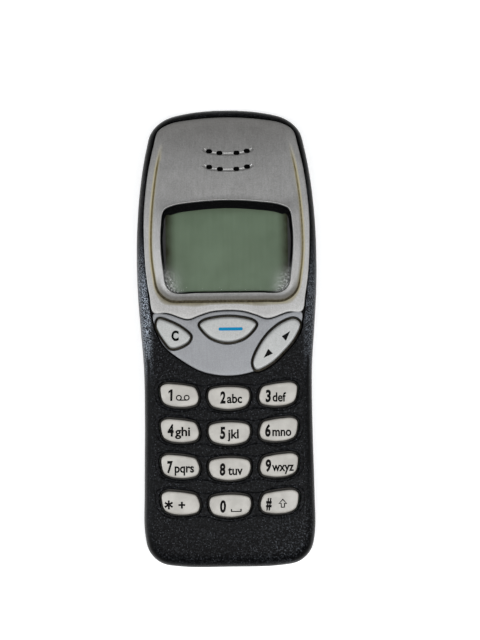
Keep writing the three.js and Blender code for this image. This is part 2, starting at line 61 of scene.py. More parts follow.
# ---------------------------------------------------------------- shader graphs
class Wire:
    """A shader socket whose arithmetic adds Math nodes to its graph."""

    def __init__(self, graph: "Graph", socket: bpy.types.NodeSocket) -> None:
        """Keeps the socket and the graph it belongs to."""
        self.graph = graph
        self.socket = socket

    def _math(self, operation: str, *values: "Wire | float") -> "Wire":
        """Joins this and other values in one Math node."""
        return self.graph.math(operation, *values)

    def __add__(self, other: "Wire | float") -> "Wire":
        """Sum."""
        return self._math("ADD", self, other)

    def __radd__(self, other: float) -> "Wire":
        """Sum with a number on the left."""
        return self._math("ADD", other, self)

    def __sub__(self, other: "Wire | float") -> "Wire":
        """Difference."""
        return self._math("SUBTRACT", self, other)

    def __rsub__(self, other: float) -> "Wire":
        """Difference from a number."""
        return self._math("SUBTRACT", other, self)

    def __mul__(self, other: "Wire | float") -> "Wire":
        """Product."""
        return self._math("MULTIPLY", self, other)

    def __rmul__(self, other: float) -> "Wire":
        """Product with a number on the left."""
        return self._math("MULTIPLY", other, self)

    def __truediv__(self, other: "Wire | float") -> "Wire":
        """Quotient."""
        return self._math("DIVIDE", self, other)

    def __pow__(self, power: float) -> "Wire":
        """Power."""
        return self._math("POWER", self, power)

    def size(self) -> "Wire":
        """Absolute value."""
        return self._math("ABSOLUTE", self)

    def wave(self) -> "Wire":
        """Sine of the value in radians."""
        return self._math("SINE", self)

    def step(self, low: float, high: float) -> "Wire":
        """A smooth rise from 0 at low to 1 at high.

        Args:
            low: The value at which the result leaves 0.
            high: The value at which it reaches 1. It may be below low, for a fall.

        Returns:
            The eased share.
        """
        settings = {"interpolation_type": "SMOOTHSTEP"}
        if low > high:
            return 1 - self.step(high, low)
        ends = {"Value": self, "From Min": low, "From Max": high}
        made = self.graph.node("ShaderNodeMapRange", settings, ends)
        return Wire(self.graph, made.outputs["Result"])


class Graph:
    """A material's node tree with one Principled shader."""

    def __init__(self, name: str) -> None:
        """Starts a material with an empty tree, a Principled shader and an output.

        Args:
            name: The material's name.
        """
        self.material = bpy.data.materials.new(name)
        self.material.use_nodes = True
        self.tree = self.material.node_tree
        self.tree.nodes.clear()
        self.shader = self.node("ShaderNodeBsdfPrincipled")
        self.output = self.node("ShaderNodeOutputMaterial", {}, {"Surface": self.shader.outputs["BSDF"]})

    def node(self, kind: str, settings: dict | None = None, sockets: dict | None = None) -> bpy.types.Node:
        """Adds any node.

        Args:
            kind: The node's type.
            settings: Its properties, set before its sockets. "stops" are a colour ramp's positions and colours.
            sockets: Values, wires or sockets for its inputs, by name or number.

        Returns:
            The new node.
        """
        made = self.tree.nodes.new(kind)
        for key, value in (settings or {}).items():
            if key == "stops":
                self._stops(made.color_ramp, value)
            else:
                setattr(made, key, value)
        for key, value in (sockets or {}).items():
            self.set(made.inputs[key], value)
        return made

    @staticmethod
    def _stops(ramp: bpy.types.ColorRamp, stops: Sequence[tuple[float, Colour]]) -> None:
        """Gives a colour ramp its stops.

        Args:
            ramp: The colour ramp.
            stops: Each stop's position and colour.
        """
        while len(ramp.elements) < len(stops):
            ramp.elements.new(0.5)
        for element, (position, colour) in zip(ramp.elements, stops):
            element.position = position
            element.color = (*colour, 1)

    def set(self, target: bpy.types.NodeSocket, value: object) -> None:
        """Links or fills one input socket.

        Args:
            target: The input.
            value: A wire, an output socket, a number or a tuple.
        """
        if isinstance(value, Wire):
            self.tree.links.new(value.socket, target)
        elif isinstance(value, bpy.types.NodeSocket):
            self.tree.links.new(value, target)
        elif isinstance(value, tuple) and len(value) == 3 and target.type == "RGBA":
            target.default_value = (*value, 1)
        else:
            target.default_value = value

    def math(self, operation: str, *values: Wire | float) -> Wire:
        """Adds a Math node and returns its result."""
        made = self.node("ShaderNodeMath", {"operation": operation}, dict(enumerate(values)))
        return Wire(self, made.outputs[0])

    def place(self) -> Wire:
        """The Object coordinates."""
        return Wire(self, self.node("ShaderNodeTexCoord").outputs["Object"])

    def axes(self) -> tuple[Wire, Wire, Wire]:
        """The Object coordinates' X, Y and Z, in millimetres."""
        split = self.node("ShaderNodeSeparateXYZ", {}, {0: self.place()})
        return tuple(Wire(self, out) / MM for out in split.outputs)

    def stretched(self, scale: tuple[float, float, float]) -> Wire:
        """The Object coordinates, scaled along each axis."""
        made = self.node("ShaderNodeMapping", {}, {"Vector": self.place(), "Scale": scale})
        return Wire(self, made.outputs[0])

    def noise(self, size_mm: float, detail: float = 2, roughness: float = 0.5,
              vector: Wire | None = None) -> Wire:
        """Smooth noise with features of a given size.

        Args:
            size_mm: The size of its largest features.
            detail: Its octaves.
            roughness: The strength of its finer octaves.
            vector: Coordinates in place of the Object ones.

        Returns:
            The noise, about 0 to 1.
        """
        sockets = {"Vector": vector or self.place(), "Scale": 1 / (size_mm * MM), "Detail": detail,
                   "Roughness": roughness}
        return Wire(self, self.node("ShaderNodeTexNoise", {}, sockets).outputs["Fac"])

    def cells(self, size_mm: float) -> tuple[Wire, Wire]:
        """Random cells: the distance from each one's middle in cells, and a random number for each.

        Args:
            size_mm: The width of a cell in millimetres.

        Returns:
            The distance from the cell's middle and the cell's own number.
        """
        made = self.node("ShaderNodeTexVoronoi", {}, {"Vector": self.place(), "Scale": 1 / (size_mm * MM)})
        split = self.node("ShaderNodeSeparateColor", {}, {0: made.outputs["Color"]})
        return Wire(self, made.outputs["Distance"]), Wire(self, split.outputs[0])

    def mark(self, name: str) -> Wire:
        """A number stored on the piece's own points."""
        return Wire(self, self.node("ShaderNodeAttribute", {"attribute_name": name}).outputs["Fac"])

    def mix(self, share: Wire | float, first: object, second: object) -> bpy.types.NodeSocket:
        """A colour between two colours."""
        made = self.node("ShaderNodeMix", {"data_type": "RGBA"}, {"Factor": share, 6: first, 7: second})
        return made.outputs[2]

    def ramp(self, share: Wire, stops: Sequence[tuple[float, Colour]]) -> bpy.types.NodeSocket:
        """A colour from a ramp."""
        return self.node("ShaderNodeValToRGB", {"stops": stops}, {0: share}).outputs["Color"]

    def relief(self, height: Wire, depth_mm: float, strength: float = 1) -> None:
        """Bumps the surface.

        Args:
            height: The relief, 0 to 1.
            depth_mm: How deep a full step of it is.
            strength: The share of the slope that is kept.
        """
        sockets = {"Height": height, "Distance": depth_mm * MM, "Strength": strength}
        self.dress(Normal=self.node("ShaderNodeBump", {}, sockets).outputs["Normal"])

    def dress(self, **sockets: object) -> None:
        """Sets the Principled shader's sockets; an underscore in a name stands for a space."""
        for name, value in sockets.items():
            self.set(self.shader.inputs[name.replace("_", " ")], value)


# ---------------------------------------------------------------- finishes
class Finish:
    """A named surface finish, whose material is made once."""

    def material(self) -> bpy.types.Material:
        """The finish's material, made at its first use.

        Returns:
            The material.
        """
        name = f"{self.name}_finish"
        if name not in bpy.data.materials:
            graph = Graph(name)
            self.paint(graph)
        return bpy.data.materials[name]

    def paint(self, graph: Graph) -> None:
        """Fills the graph. Each finish has its own."""
        raise NotImplementedError


@dataclass(frozen=True)
class CharcoalPaint(Finish):
    """Near-black paint with a leathery grain and fine metal flakes, with painted shade on the flanks and a painted
    bluish sheen at their waist.
    """

    name: str = "charcoal_paint"
    dark: Colour = (0.0014, 0.0015, 0.0018)
    light: Colour = (0.0165, 0.0175, 0.0195)
    flake: Colour = (0.13, 0.14, 0.16)
    sheen: Colour = (0.36, 0.40, 0.46)
    dust: Colour = (0.05, 0.048, 0.042)
    grain_mm: float = 0.52
    flake_mm: float = 0.36
    roughness: float = 0.36

    def paint(self, graph: Graph) -> None:
        """Lays grain, flakes, a little dust and gloss, with painted shade on the flanks and down in the wells and
        a painted bluish sheen at the flanks' waist and the lower right corner.

        Args:
            graph: The material's graph.
        """
        grain = graph.noise(self.grain_mm, 4, 0.75)
        broad = graph.noise(9, 2)
        distance, chance = graph.cells(self.flake_mm)
        flakes = chance.step(0.72, 0.97) * distance.step(0.45, 0.10)
        across, along, up = graph.axes()
        shoulder = up.step(7, 12) * up.step(20.4, 16.5)
        # Weight of the painted sheen: stronger on the left side than on the right.
        side = 0.45 + across.step(6, -6) * 0.55
        waist = across.size().step(19.8, 21.6) * along.step(-14, -2) * along.step(30, 12) * up.step(14, 17.5)
        corner = across.step(-2, 20) * along.step(-38, -56) * up.step(14, 18)
        dust = graph.noise(0.9, 3, 0.7).step(0.66, 0.8) * graph.noise(14, 1).step(0.45, 0.7)
        depth_shade = graph.mark("depth_shade")
        base = graph.mix(grain.step(0.46, 0.66), self.dark, self.light)
        base = graph.mix(flakes * 0.55, base, self.flake)
        base = graph.mix(dust * 0.35, base, self.dust)
        # Painted shade: the flanks, from about 12 to 16.5 mm up, are darkened towards the dark tone.
        base = graph.mix(shoulder * 0.75, base, self.dark)
        # Painted highlight: a bluish speckled sheen painted into the colour at the flanks' waist and, faintly, at
        # the lower right corner, and made metallic there.
        painted_waist_sheen = waist * side * graph.noise(0.34, 3, 0.7).step(0.45, 0.65) * 0.7
        shine = (painted_waist_sheen + corner * grain.step(0.54, 0.66) * 0.10) * (1 - depth_shade)
        base = graph.mix(shine, base, self.sheen)
        # Painted shade: near black down in the wells and the recess, by depth below the front.
        base = graph.mix(depth_shade * 0.95, base, (0.0008, 0.0008, 0.0009))
        rough = self.roughness + (grain - 0.5) * 0.16 + (broad - 0.5) * 0.08 - flakes * 0.12
        graph.dress(Base_Color=base, Roughness=rough, Metallic=shine, Specular_IOR_Level=0.035)
        graph.relief(grain * 0.8 + flakes * 0.25, 0.06, 0.8)


@dataclass(frozen=True)
class SilverPaint(Finish):
    """Satin silver paint, with dirt and painted shade where the piece is marked, painted shade towards the upper
    end, and light rubbing.
    """

    name: str = "silver_paint"
    light: Colour = (0.306, 0.303, 0.298)
    dark: Colour = (0.197, 0.195, 0.191)
    stain: Colour = (0.34, 0.30, 0.17)
    dirt: Colour = (0.030, 0.022, 0.008)
    side_dirt: Colour = (0.115, 0.092, 0.036)
    low_end: tuple[float, float] = (20.0, 12.0)
    shade: Colour = (0.105, 0.098, 0.088)
    metal: float = 0.5
    roughness: float = 0.38

    def paint(self, graph: Graph) -> None:
        """Lays the paint's flakes, rubbing, stains, dirt and painted shade.

        Args:
            graph: The material's graph.
        """
        flakes = graph.noise(0.34, 3, 0.75)
        cloud = graph.noise(5, 3, 0.55)
        rubbing = graph.noise(0.5, 4, 0.7, graph.stretched((1, 0.12, 1)))
        _, along, _ = graph.axes()
        packed_and_shaded = graph.mix(along.step(*self.low_end), self.side_dirt, self.dirt)
        dirt = graph.mark("dirt")
        stain = graph.mark("stain") * (0.5 + graph.noise(1.6, 3, 0.6))
        tone = 0.3 + cloud.step(0.3, 0.7) * 0.2 + (flakes - 0.5) * 2.0 + (rubbing - 0.5) * 0.9
        # Painted shade: darker towards the upper end, from 46 to 60 mm along.
        base = graph.mix(along.step(46, 60) * 0.5, graph.mix(tone, self.dark, self.light), self.shade)
        base = graph.mix(stain * 0.75, base, self.stain)
        # The marked darkening is partly dirt, in the plate's groove, and partly painted shade: on the band along
        # the groove's lower edge, down in the panel's gaps and at the painted keys' feet.
        base = graph.mix(dirt * (0.7 + graph.noise(0.7, 3) * 0.5), base, packed_and_shaded)
        rough = self.roughness + (flakes - 0.5) * 0.22 + (rubbing - 0.5) * 0.12 + dirt * 0.4 + stain * 0.2
        graph.dress(Base_Color=base, Roughness=rough, Metallic=self.metal * (1 - dirt) * (1 - stain * 0.7))
        graph.relief(flakes * 0.7 + rubbing * 0.3, 0.012, 0.5)


@dataclass(frozen=True)
class KeyPlastic(Finish):
    """Pale warm grey key plastic with a fine speckle and painted shade at the foot of each key."""

    name: str = "key_plastic"
    light: Colour = (0.455, 0.438, 0.403)
    dark: Colour = (0.345, 0.330, 0.302)
    depth_shade: Colour = (0.03, 0.027, 0.023)
    roughness: float = 0.42

    def paint(self, graph: Graph) -> None:
        """Lays speckle, handling wear and painted shade at the key's foot.

        Args:
            graph: The material's graph.
        """
        speckle = graph.noise(0.22, 3, 0.7)
        cloud = graph.noise(3.2, 2, 0.5)
        depth_shade = graph.mark("depth_shade")
        base = graph.mix(cloud.step(0.3, 0.72) * 0.6 + (speckle - 0.5) * 0.8, self.dark, self.light)
        # Painted shade: the key's foot, down in its gap, is darkened.
        base = graph.mix(depth_shade, base, self.depth_shade)
        rough = self.roughness + (speckle - 0.5) * 0.2 - (cloud - 0.5) * 0.15 + depth_shade * 0.3
        graph.dress(Base_Color=base, Roughness=rough)
        graph.relief(speckle, 0.012, 0.5)


@dataclass(frozen=True)
class Ink(Finish):
    """Printed ink, faintly worn."""

    name: str
    colour: Colour
    worn: Colour
    roughness: float = 0.6
    gloss: float = 0.03

    def paint(self, graph: Graph) -> None:
        """Lays the ink with small thin spots.

        Args:
            graph: The material's graph.
        """
        thin = graph.noise(0.14, 3, 0.7)
        graph.dress(Base_Color=graph.mix(thin.step(0.6, 0.9) * 0.4, self.colour, self.worn),
                    Roughness=self.roughness + (thin - 0.5) * 0.2, Specular_IOR_Level=self.gloss)
        graph.relief(thin, 0.004, 0.4)


@dataclass(frozen=True)
class DisplayPanel(Finish):
    """A reflective display at rest: grey-green, with faint columns, a soft mottle and brownish painted shade
    towards its sides and upper end.
    """

    name: str = "display_panel"
    light: Colour = (0.123, 0.166, 0.114)
    dark: Colour = (0.091, 0.124, 0.082)
    # The colour of the painted shade at the display's sides and upper end.
    edge: Colour = (0.020, 0.020, 0.009)
    column_mm: float = 0.36

    def paint(self, graph: Graph) -> None:
        """Lays the columns, rows and mottle, and the painted shade at the sides and upper end.

        Args:
            graph: The material's graph.
        """
        across, along, _ = graph.axes()
        columns = (across * (2 * math.pi / self.column_mm)).wave() * 0.5 + 0.5
        rows = (along * (2 * math.pi / self.column_mm)).wave() * 0.5 + 0.5
        streaks = graph.noise(0.8, 3, 0.6, graph.stretched((1, 0.05, 1)))
        mottle = graph.noise(7, 2, 0.5)
        tone = 0.18 + mottle.step(0.25, 0.75) * 0.5 + (streaks - 0.5) * 0.55 + columns * 0.08 + rows * 0.05
        # Painted shade: darker towards the sides and the upper end, where the window's well shades the display.
        side = across.size().step(13.4, 16.4) * (0.6 + graph.noise(4, 2) * 0.8)
        end = along.step(32.6, 35.8)
        base = graph.mix(side * 0.85 + end * 0.4, graph.mix(tone, self.dark, self.light), self.edge)
        graph.dress(Base_Color=base, Roughness=0.5 + (mottle - 0.5) * 0.1, Specular_IOR_Level=0.08)
        graph.relief(columns * 0.5 + rows * 0.5, 0.002, 0.3)


@dataclass(frozen=True)
class ClearWindow(Finish):
    """Clear acrylic, rubbed in its lower corners."""

    name: str = "clear_window"
    tint: Colour = (0.020, 0.023, 0.020)
    scuff: Colour = (0.60, 0.62, 0.60)

    def paint(self, graph: Graph) -> None:
        """Lays a thin dark veil with pale scuffs.

        Args:
            graph: The material's graph.
        """
        across, along, _ = graph.axes()
        corner = across.size().step(9.0, 17.4) * along.step(23.0, 12.6)
        scratch = graph.noise(0.5, 4, 0.75)
        scuff = corner * corner * (0.12 + scratch.step(0.47, 0.60) * 0.88)
        haze = graph.noise(6, 3).step(0.45, 0.8)
        base = graph.mix(corner.step(0.02, 0.5), self.tint, self.scuff)
        graph.dress(Base_Color=base, Roughness=0.06 + haze * 0.06 + scuff * 0.3,
                    IOR=1.49, Alpha=0.02 + haze * 0.02 + scuff * 0.6, Specular_IOR_Level=0.3)
        graph.relief(scratch * corner, 0.02, 0.6)


@dataclass(frozen=True)
class Moulded(Finish):
    """Moulded plastic or rubber with a fine texture."""

    name: str
    colour: Colour
    shade: Colour
    roughness: float = 0.55
    texture_mm: float = 0.25
    depth_mm: float = 0.015

    def paint(self, graph: Graph) -> None:
        """Lays the mould's texture and an uneven tone.

        Args:
            graph: The material's graph.
        """
        texture = graph.noise(self.texture_mm, 3, 0.6)
        cloud = graph.noise(4.5, 3, 0.5)
        tone = cloud.step(0.3, 0.75) * 0.7 + (texture - 0.5) * 0.5
        graph.dress(Base_Color=graph.mix(tone, self.colour, self.shade),
                    Roughness=self.roughness + (texture - 0.5) * 0.2)
        graph.relief(texture, self.depth_mm, 0.6)


@dataclass(frozen=True)
class BareMetal(Finish):
    """Rolled or plated metal with fine lines and tarnish."""

    name: str
    colour: Colour
    tarnish: Colour
    roughness: float = 0.3

    def paint(self, graph: Graph) -> None:
        """Lays rolling lines and tarnish.

        Args:
            graph: The material's graph.
        """
        lines = graph.noise(0.35, 3, 0.65, graph.stretched((1, 0.06, 1)))
        cloud = graph.noise(3, 3, 0.6)
        graph.dress(Base_Color=graph.mix(cloud.step(0.45, 0.8) * 0.7, self.colour, self.tarnish), Metallic=1.0,
                    Roughness=self.roughness + (lines - 0.5) * 0.2 + (cloud - 0.5) * 0.12)
        graph.relief(lines, 0.006, 0.5)


@dataclass(frozen=True)
class CircuitBoard(Finish):
    """Green solder mask over copper tracks."""

    name: str = "circuit_board"
    mask: Colour = (0.012, 0.085, 0.035)
    track: Colour = (0.03, 0.16, 0.06)

    def paint(self, graph: Graph) -> None:
        """Lays tracks under the mask.

        Args:
            graph: The material's graph.
        """
        _, chance = graph.cells(2.4)
        tracks = ((graph.noise(2.2, 2) * 34).wave()).step(0.55, 0.75) * chance.step(0.3, 0.5)
        graph.dress(Base_Color=graph.mix(tracks, self.mask, self.track), Roughness=0.34 + tracks * 0.08)
        graph.relief(tracks, 0.03, 0.6)


@dataclass(frozen=True)
class PaleFloor(Finish):
    """A plain white light table with a barely visible paper grain."""

    name: str = "pale_floor"
    colour: Colour = (0.86, 0.86, 0.86)
    glow: float = 0.40

    def paint(self, graph: Graph) -> None:
        """Lays the paper's grain.

        Args:
            graph: The material's graph.
        """
        grain = graph.noise(1.2, 2)
        graph.dress(Base_Color=graph.mix(grain * 0.04, self.colour, (0.8, 0.8, 0.8)), Roughness=0.9,
                    Emission_Color=(1, 1, 1), Emission_Strength=self.glow)


class Look(Enum):
    """Every finish on the phone."""

    CHARCOAL = CharcoalPaint()
    SILVER = SilverPaint()
    SILVER_BLUE = SilverPaint("silver_blue_paint", (0.195, 0.20, 0.21), (0.125, 0.129, 0.136))
    SILVER_KEY = SilverPaint("silver_key_paint", (0.345, 0.35, 0.345), (0.245, 0.25, 0.245), metal=0.25)
    KEY = KeyPlastic()
    BLACK_INK = Ink("black_ink", (0.004, 0.004, 0.004), (0.03, 0.029, 0.027))
    BLUE_INK = Ink("blue_ink", (0.008, 0.18, 0.36), (0.04, 0.24, 0.42))
    MASK = Ink("window_mask_ink", (0.0012, 0.0012, 0.0014), (0.003, 0.003, 0.0034), 0.62, 0.02)
    DISPLAY = DisplayPanel()
    WINDOW = ClearWindow()
    RUBBER = Moulded("black_rubber", (0.010, 0.010, 0.010), (0.020, 0.020, 0.021), 0.7)
    FRAME = Moulded("frame_plastic", (0.085, 0.09, 0.10), (0.12, 0.125, 0.135))
    WHITE = Moulded("white_plastic", (0.66, 0.66, 0.62), (0.74, 0.74, 0.70))
    BATTERY = Moulded("battery_case", (0.022, 0.024, 0.028), (0.035, 0.037, 0.042), 0.42)
    CARD = Moulded("card_plastic", (0.70, 0.66, 0.56), (0.76, 0.72, 0.63), 0.4)
    STEEL = BareMetal("steel", (0.56, 0.57, 0.58), (0.36, 0.34, 0.32))
    DARK_STEEL = BareMetal("blackened_steel", (0.050, 0.050, 0.054), (0.022, 0.022, 0.024))
    GOLD = BareMetal("gold_plate", (0.83, 0.60, 0.22), (0.60, 0.40, 0.16))
    BOARD = CircuitBoard()
    FLOOR = PaleFloor()


# ---------------------------------------------------------------- outlines and faces
class Outline:
    """A closed outline of points in millimetres."""

    def __init__(self, points: Iterable[Vector]) -> None:
        """Keeps the points."""
        self.points = [Vector((p[0], p[1])) for p in points]

    @classmethod
    def through(cls, knots: Sequence[tuple[float, float]], count: int) -> "Outline":
        """The smooth closed curve through some knots.

        Args:
            knots: Points on the outline.
            count: How many points to take along it; they are closest where the knots are.

        Returns:
            The outline.
        """
        ring = [Vector(knot) for knot in knots]
        size = len(ring)
        made = []
        for index in range(count):
            place = index / count * size
            first = math.floor(place)
            p0, p1, p2, p3 = (ring[(first + shift) % size] for shift in (-1, 0, 1, 2))
            made.append(cls._between(p0, p1, p2, p3, place - first))
        return cls(made)

    @staticmethod
    def _between(p0: Vector, p1: Vector, p2: Vector, p3: Vector, share: float) -> Vector:
        """A point on the centripetal curve between p1 and p2.

        Args:
            p0: The point before.
            p1: The point it starts from.
            p2: The point it runs to.
            p3: The point after.
            share: How far along it is, from 0 to 1.

        Returns:
            The point.
        """
        d0, d1, d2 = (math.sqrt((b - a).length) for a, b in ((p0, p1), (p1, p2), (p2, p3)))
        t1 = ((p1 - p0) / d0 - (p2 - p0) / (d0 + d1) + (p2 - p1) / d1) * d1
        t2 = ((p2 - p1) / d1 - (p3 - p1) / (d1 + d2) + (p3 - p2) / d2) * d1
        c2 = 3 * (p2 - p1) - 2 * t1 - t2
        c3 = 2 * (p1 - p2) + t1 + t2
        return p1 + t1 * share + c2 * share ** 2 + c3 * share ** 3

    @classmethod
    def mirrored(cls, half: Sequence[tuple[float, float]], count: int) -> "Outline":
        """The curve through a right half, from top to bottom, and its mirror image."""
        left = [(-x, y) for x, y in reversed(half[1:-1])]
        return cls.through([*half, *left], count)

    @classmethod
    def oblong(cls, width: float, height: float, radius: float, steps: int = 8) -> "Outline":
        """A rectangle with round corners, about the origin.

        Args:
            width: The whole width.
            height: The whole height.
            radius: The corners' radius.
            steps: The edges round each corner.

        Returns:
            The outline.
        """
        made = []
        for quarter, (sx, sy) in enumerate(((1, 1), (-1, 1), (-1, -1), (1, -1))):
            centre = Vector((sx * (width / 2 - radius), sy * (height / 2 - radius)))
            for step in range(steps + 1):
                turn = (quarter + step / steps) * math.pi / 2
                made.append(centre + radius * Vector((math.cos(turn), math.sin(turn))))
        return cls(made)

    def area(self) -> float:
        """The signed area."""
        pairs = zip(self.points, [*self.points[1:], self.points[0]])
        return sum(a.x * b.y - b.x * a.y for a, b in pairs) / 2

    def inset(self, distance: float) -> "Outline":
        """The outline moved inwards, or outwards where the distance is negative.

        Args:
            distance: How far it moves.

        Returns:
            The new outline.
        """
        turn = math.copysign(1, self.area())
        made = []
        for index, point in enumerate(self.points):
            along = (self.points[(index + 1) % len(self.points)] - self.points[index - 1]).normalized()
            made.append(point + turn * distance * Vector((-along.y, along.x)))
        return Outline(made)

    def shrunk(self, share: float, spine: float = 0) -> "Outline":
        """The outline drawn towards its middle line.

        Args:
            share: The size left, from 1 to 0.
            spine: Half the length of the line along Y that it shrinks to.

        Returns:
            The smaller outline.
        """
        centre = self.centre()
        made = []
        for point in self.points:
            rib = Vector((centre.x, max(centre.y - spine, min(centre.y + spine, point.y))))
            made.append(rib + (point - rib) * share)
        return Outline(made)

    def centre(self) -> Vector:
        """The middle of the outline's box."""
        xs, ys = [p.x for p in self.points], [p.y for p in self.points]
        return Vector(((min(xs) + max(xs)) / 2, (min(ys) + max(ys)) / 2))

    def moved(self, x: float, y: float) -> "Outline":
        """The outline moved over."""
        return Outline(p + Vector((x, y)) for p in self.points)

    def flipped(self) -> "Outline":
        """The outline's mirror image in X."""
        return Outline(Vector((-p.x, p.y)) for p in reversed(self.points))

    def rays(self, centre: tuple[float, float], count: int) -> "Outline":
        """The outline's points in evenly turned directions from a centre.

        Args:
            centre: Where the directions start.
            count: How many there are.

        Returns:
            The outline with one point in each direction.
        """
        middle = Vector(centre)
        polar = sorted((math.atan2(p.y - middle.y, p.x - middle.x), (p - middle).length) for p in self.points)
        polar = [(polar[-1][0] - 2 * math.pi, polar[-1][1]), *polar, (polar[0][0] + 2 * math.pi, polar[0][1])]
        made, place = [], 0
        for index in range(count):
            turn = -math.pi + 2 * math.pi * index / count
            while polar[place + 1][0] < turn:
                place += 1
            (a, ra), (b, rb) = polar[place], polar[place + 1]
            share = (turn - a) / max(b - a, 1e-9)
            reach = ra * rb / (rb + (ra - rb) * share)
            made.append(middle + reach * Vector((math.cos(turn), math.sin(turn))))
        return Outline(made)

    def toward(self, other: "Outline", share: float) -> "Outline":
        """The outline part of the way to another with as many points."""
        return Outline(a.lerp(b, share) for a, b in zip(self.points, other.points))

    def near(self) -> kdtree.KDTree:
        """A search tree of the outline's points.

        Returns:
            The tree, whose find() gives the nearest point and its distance.
        """
        tree = kdtree.KDTree(len(self.points))
        for index, point in enumerate(self.points):
            tree.insert((point.x, point.y, 0), index)
        tree.balance()
        return tree


def ease(value: float, low: float, high: float) -> float:
    """A smooth rise from 0 at low to 1 at high."""
    share = max(0.0, min(1.0, (value - low) / (high - low)))
    return share * share * (3 - 2 * share)


@dataclass(frozen=True)
class Case:
    """The curved front and back of the phone's case, in millimetres."""

    crest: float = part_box("front_cover")[1].z / MM
    seam: float = (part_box("front_cover")[0].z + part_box("back_cover")[1].z) / 2 / MM
    crown: float = 0.0025
    top_fall: float = 2.0
    top_start: float = 30
    top_run: float = 32
    bottom_fall: float = 0.8
    bottom_start: float = -40
    bottom_run: float = 22
    back_rise: float = 4.0
    back_start: float = -20
    back_run: float = 42

    def front(self, x: float, y: float) -> float:
        """The front face's height.

        Args:
            x: The place across.
            y: The place along.

        Returns:
            The height above the table.
        """
        top = max(0.0, (y - self.top_start) / self.top_run)
        bottom = max(0.0, (self.bottom_start - y) / self.bottom_run)
        return self.crest - self.crown * x * x - self.top_fall * top * top - self.bottom_fall * bottom * bottom

    def under(self, drop: float) -> Height:
        """A height that follows the front face, so far below it."""
        return lambda x, y: self.front(x, y) - drop

    def back(self, y: float) -> float:
        """The back face's height."""
        return self.back_rise * max(0.0, (self.back_start - y) / self.back_run) ** 2

    def above_back(self, rise: float, share: float = 1) -> Height:
        """A height that follows the back face, so far above it."""
        return lambda x, y: rise + share * self.back(y)


CASE = Case()


def level(z: float) -> Height:
    """A flat height."""
    return lambda x, y: z


# ---------------------------------------------------------------- meshes
class Skin:
    """A skin grown ring by ring, by extruding its open edge and moving the new ring into place."""

    def __init__(self) -> None:
        """Starts with nothing."""
        self.bm = bmesh.new()
        self.verts: list[bmesh.types.BMVert] = []
        self.edges: list[bmesh.types.BMEdge] = []

    def ring(self, outline: Outline, height: Height) -> "Skin":
        """Adds the next ring.

        Args:
            outline: The ring's outline, with as many points as the ones before.
            height: The height at each of its points.

        Returns:
            The skin, so that rings can be chained.
        """
        points = [Vector((p.x, p.y, height(p.x, p.y))) for p in outline.points]
        if not self.verts:
            self.verts = [self.bm.verts.new(point) for point in points]
            self.edges = [self.bm.edges.new((self.verts[i - 1], vert)) for i, vert in enumerate(self.verts)]
            return self
        grown = bmesh.ops.extrude_edge_only(self.bm, edges=self.edges)["geom"]
        fresh = {item for item in grown if isinstance(item, bmesh.types.BMVert)}
        self.edges = [item for item in grown
                      if isinstance(item, bmesh.types.BMEdge) and fresh.issuperset(item.verts)]
        self.verts = [next(edge.other_vert(vert) for edge in vert.link_edges if edge.other_vert(vert) in fresh)
                      for vert in self.verts]
        for vert, point in zip(self.verts, points):
            vert.co = point
        return self

    def closed(self) -> bmesh.types.BMesh:
        """Merges what meets and turns the faces out.

        Returns:
            The closed mesh.
        """
        bmesh.ops.remove_doubles(self.bm, verts=self.bm.verts[:], dist=0.0008)
        bmesh.ops.dissolve_degenerate(self.bm, edges=self.bm.edges[:], dist=0.0004)
        bmesh.ops.recalc_face_normals(self.bm, faces=self.bm.faces[:])
        return self.bm


def prism(outline: Outline, low: Height, high: Height) -> bmesh.types.BMesh:
    """A closed column between two heights.

    Args:
        outline: The column's outline.
        low: The height of its foot.
        high: The height of its top.

    Returns:
        The column.
    """
    bm = bmesh.new()
    verts = [bm.verts.new((p.x, p.y, 0)) for p in outline.points]
    base = bm.faces.new(verts)
    raised = bmesh.ops.extrude_face_region(bm, geom=[base])["geom"]
    upper = {item for item in raised if isinstance(item, bmesh.types.BMVert)}
    for vert in bm.verts:
        vert.co.z = high(vert.co.x, vert.co.y) if vert in upper else low(vert.co.x, vert.co.y)
    bmesh.ops.recalc_face_normals(bm, faces=bm.faces[:])
    return bm


def brick(low: Sequence[float], high: Sequence[float], bevel: float = 0,
          segments: int = 3) -> bmesh.types.BMesh:
    """A box with rounded edges.

    Args:
        low: Its lowest corner.
        high: Its highest corner.
        bevel: The edges' radius.
        segments: The faces across each rounded edge.

    Returns:
        The box.
    """
    bm = bmesh.new()
    bmesh.ops.create_cube(bm, size=1)
    size = [b - a for a, b in zip(low, high)]
    bmesh.ops.scale(bm, vec=size, verts=bm.verts[:])
    bmesh.ops.translate(bm, vec=[(a + b) / 2 for a, b in zip(low, high)], verts=bm.verts[:])
    if bevel:
        bmesh.ops.bevel(bm, geom=bm.edges[:], offset=bevel, affect="EDGES", segments=segments, profile=0.5,
                        material=-1, clamp_overlap=True)
    return bm


def post(centre: Sequence[float], low: float, high: float, radius: float, sides: int = 24) -> bmesh.types.BMesh:
    """An upright round bar.

    Args:
        centre: The bar's middle across and along.
        low: The height of its foot.
        high: The height of its top.
        radius: Its radius.
        sides: The flat faces round it.

    Returns:
        The bar.
    """
    bm = bmesh.new()
    place = Matrix.Translation((centre[0], centre[1], (low + high) / 2))
    bmesh.ops.create_cone(bm, cap_ends=True, segments=sides, radius1=radius, radius2=radius, depth=high - low,
                          matrix=place)
    return bm


def joined(parts: Iterable[bmesh.types.BMesh]) -> bmesh.types.BMesh:
    """Several meshes in one.

    Args:
        parts: The meshes, which are used up.

    Returns:
        One mesh that holds them all.
    """
    whole = bmesh.new()
    for part in parts:
        mesh = bpy.data.meshes.new("part")
        part.to_mesh(mesh)
        whole.from_mesh(mesh)
        part.free()
        bpy.data.meshes.remove(mesh)
    return whole


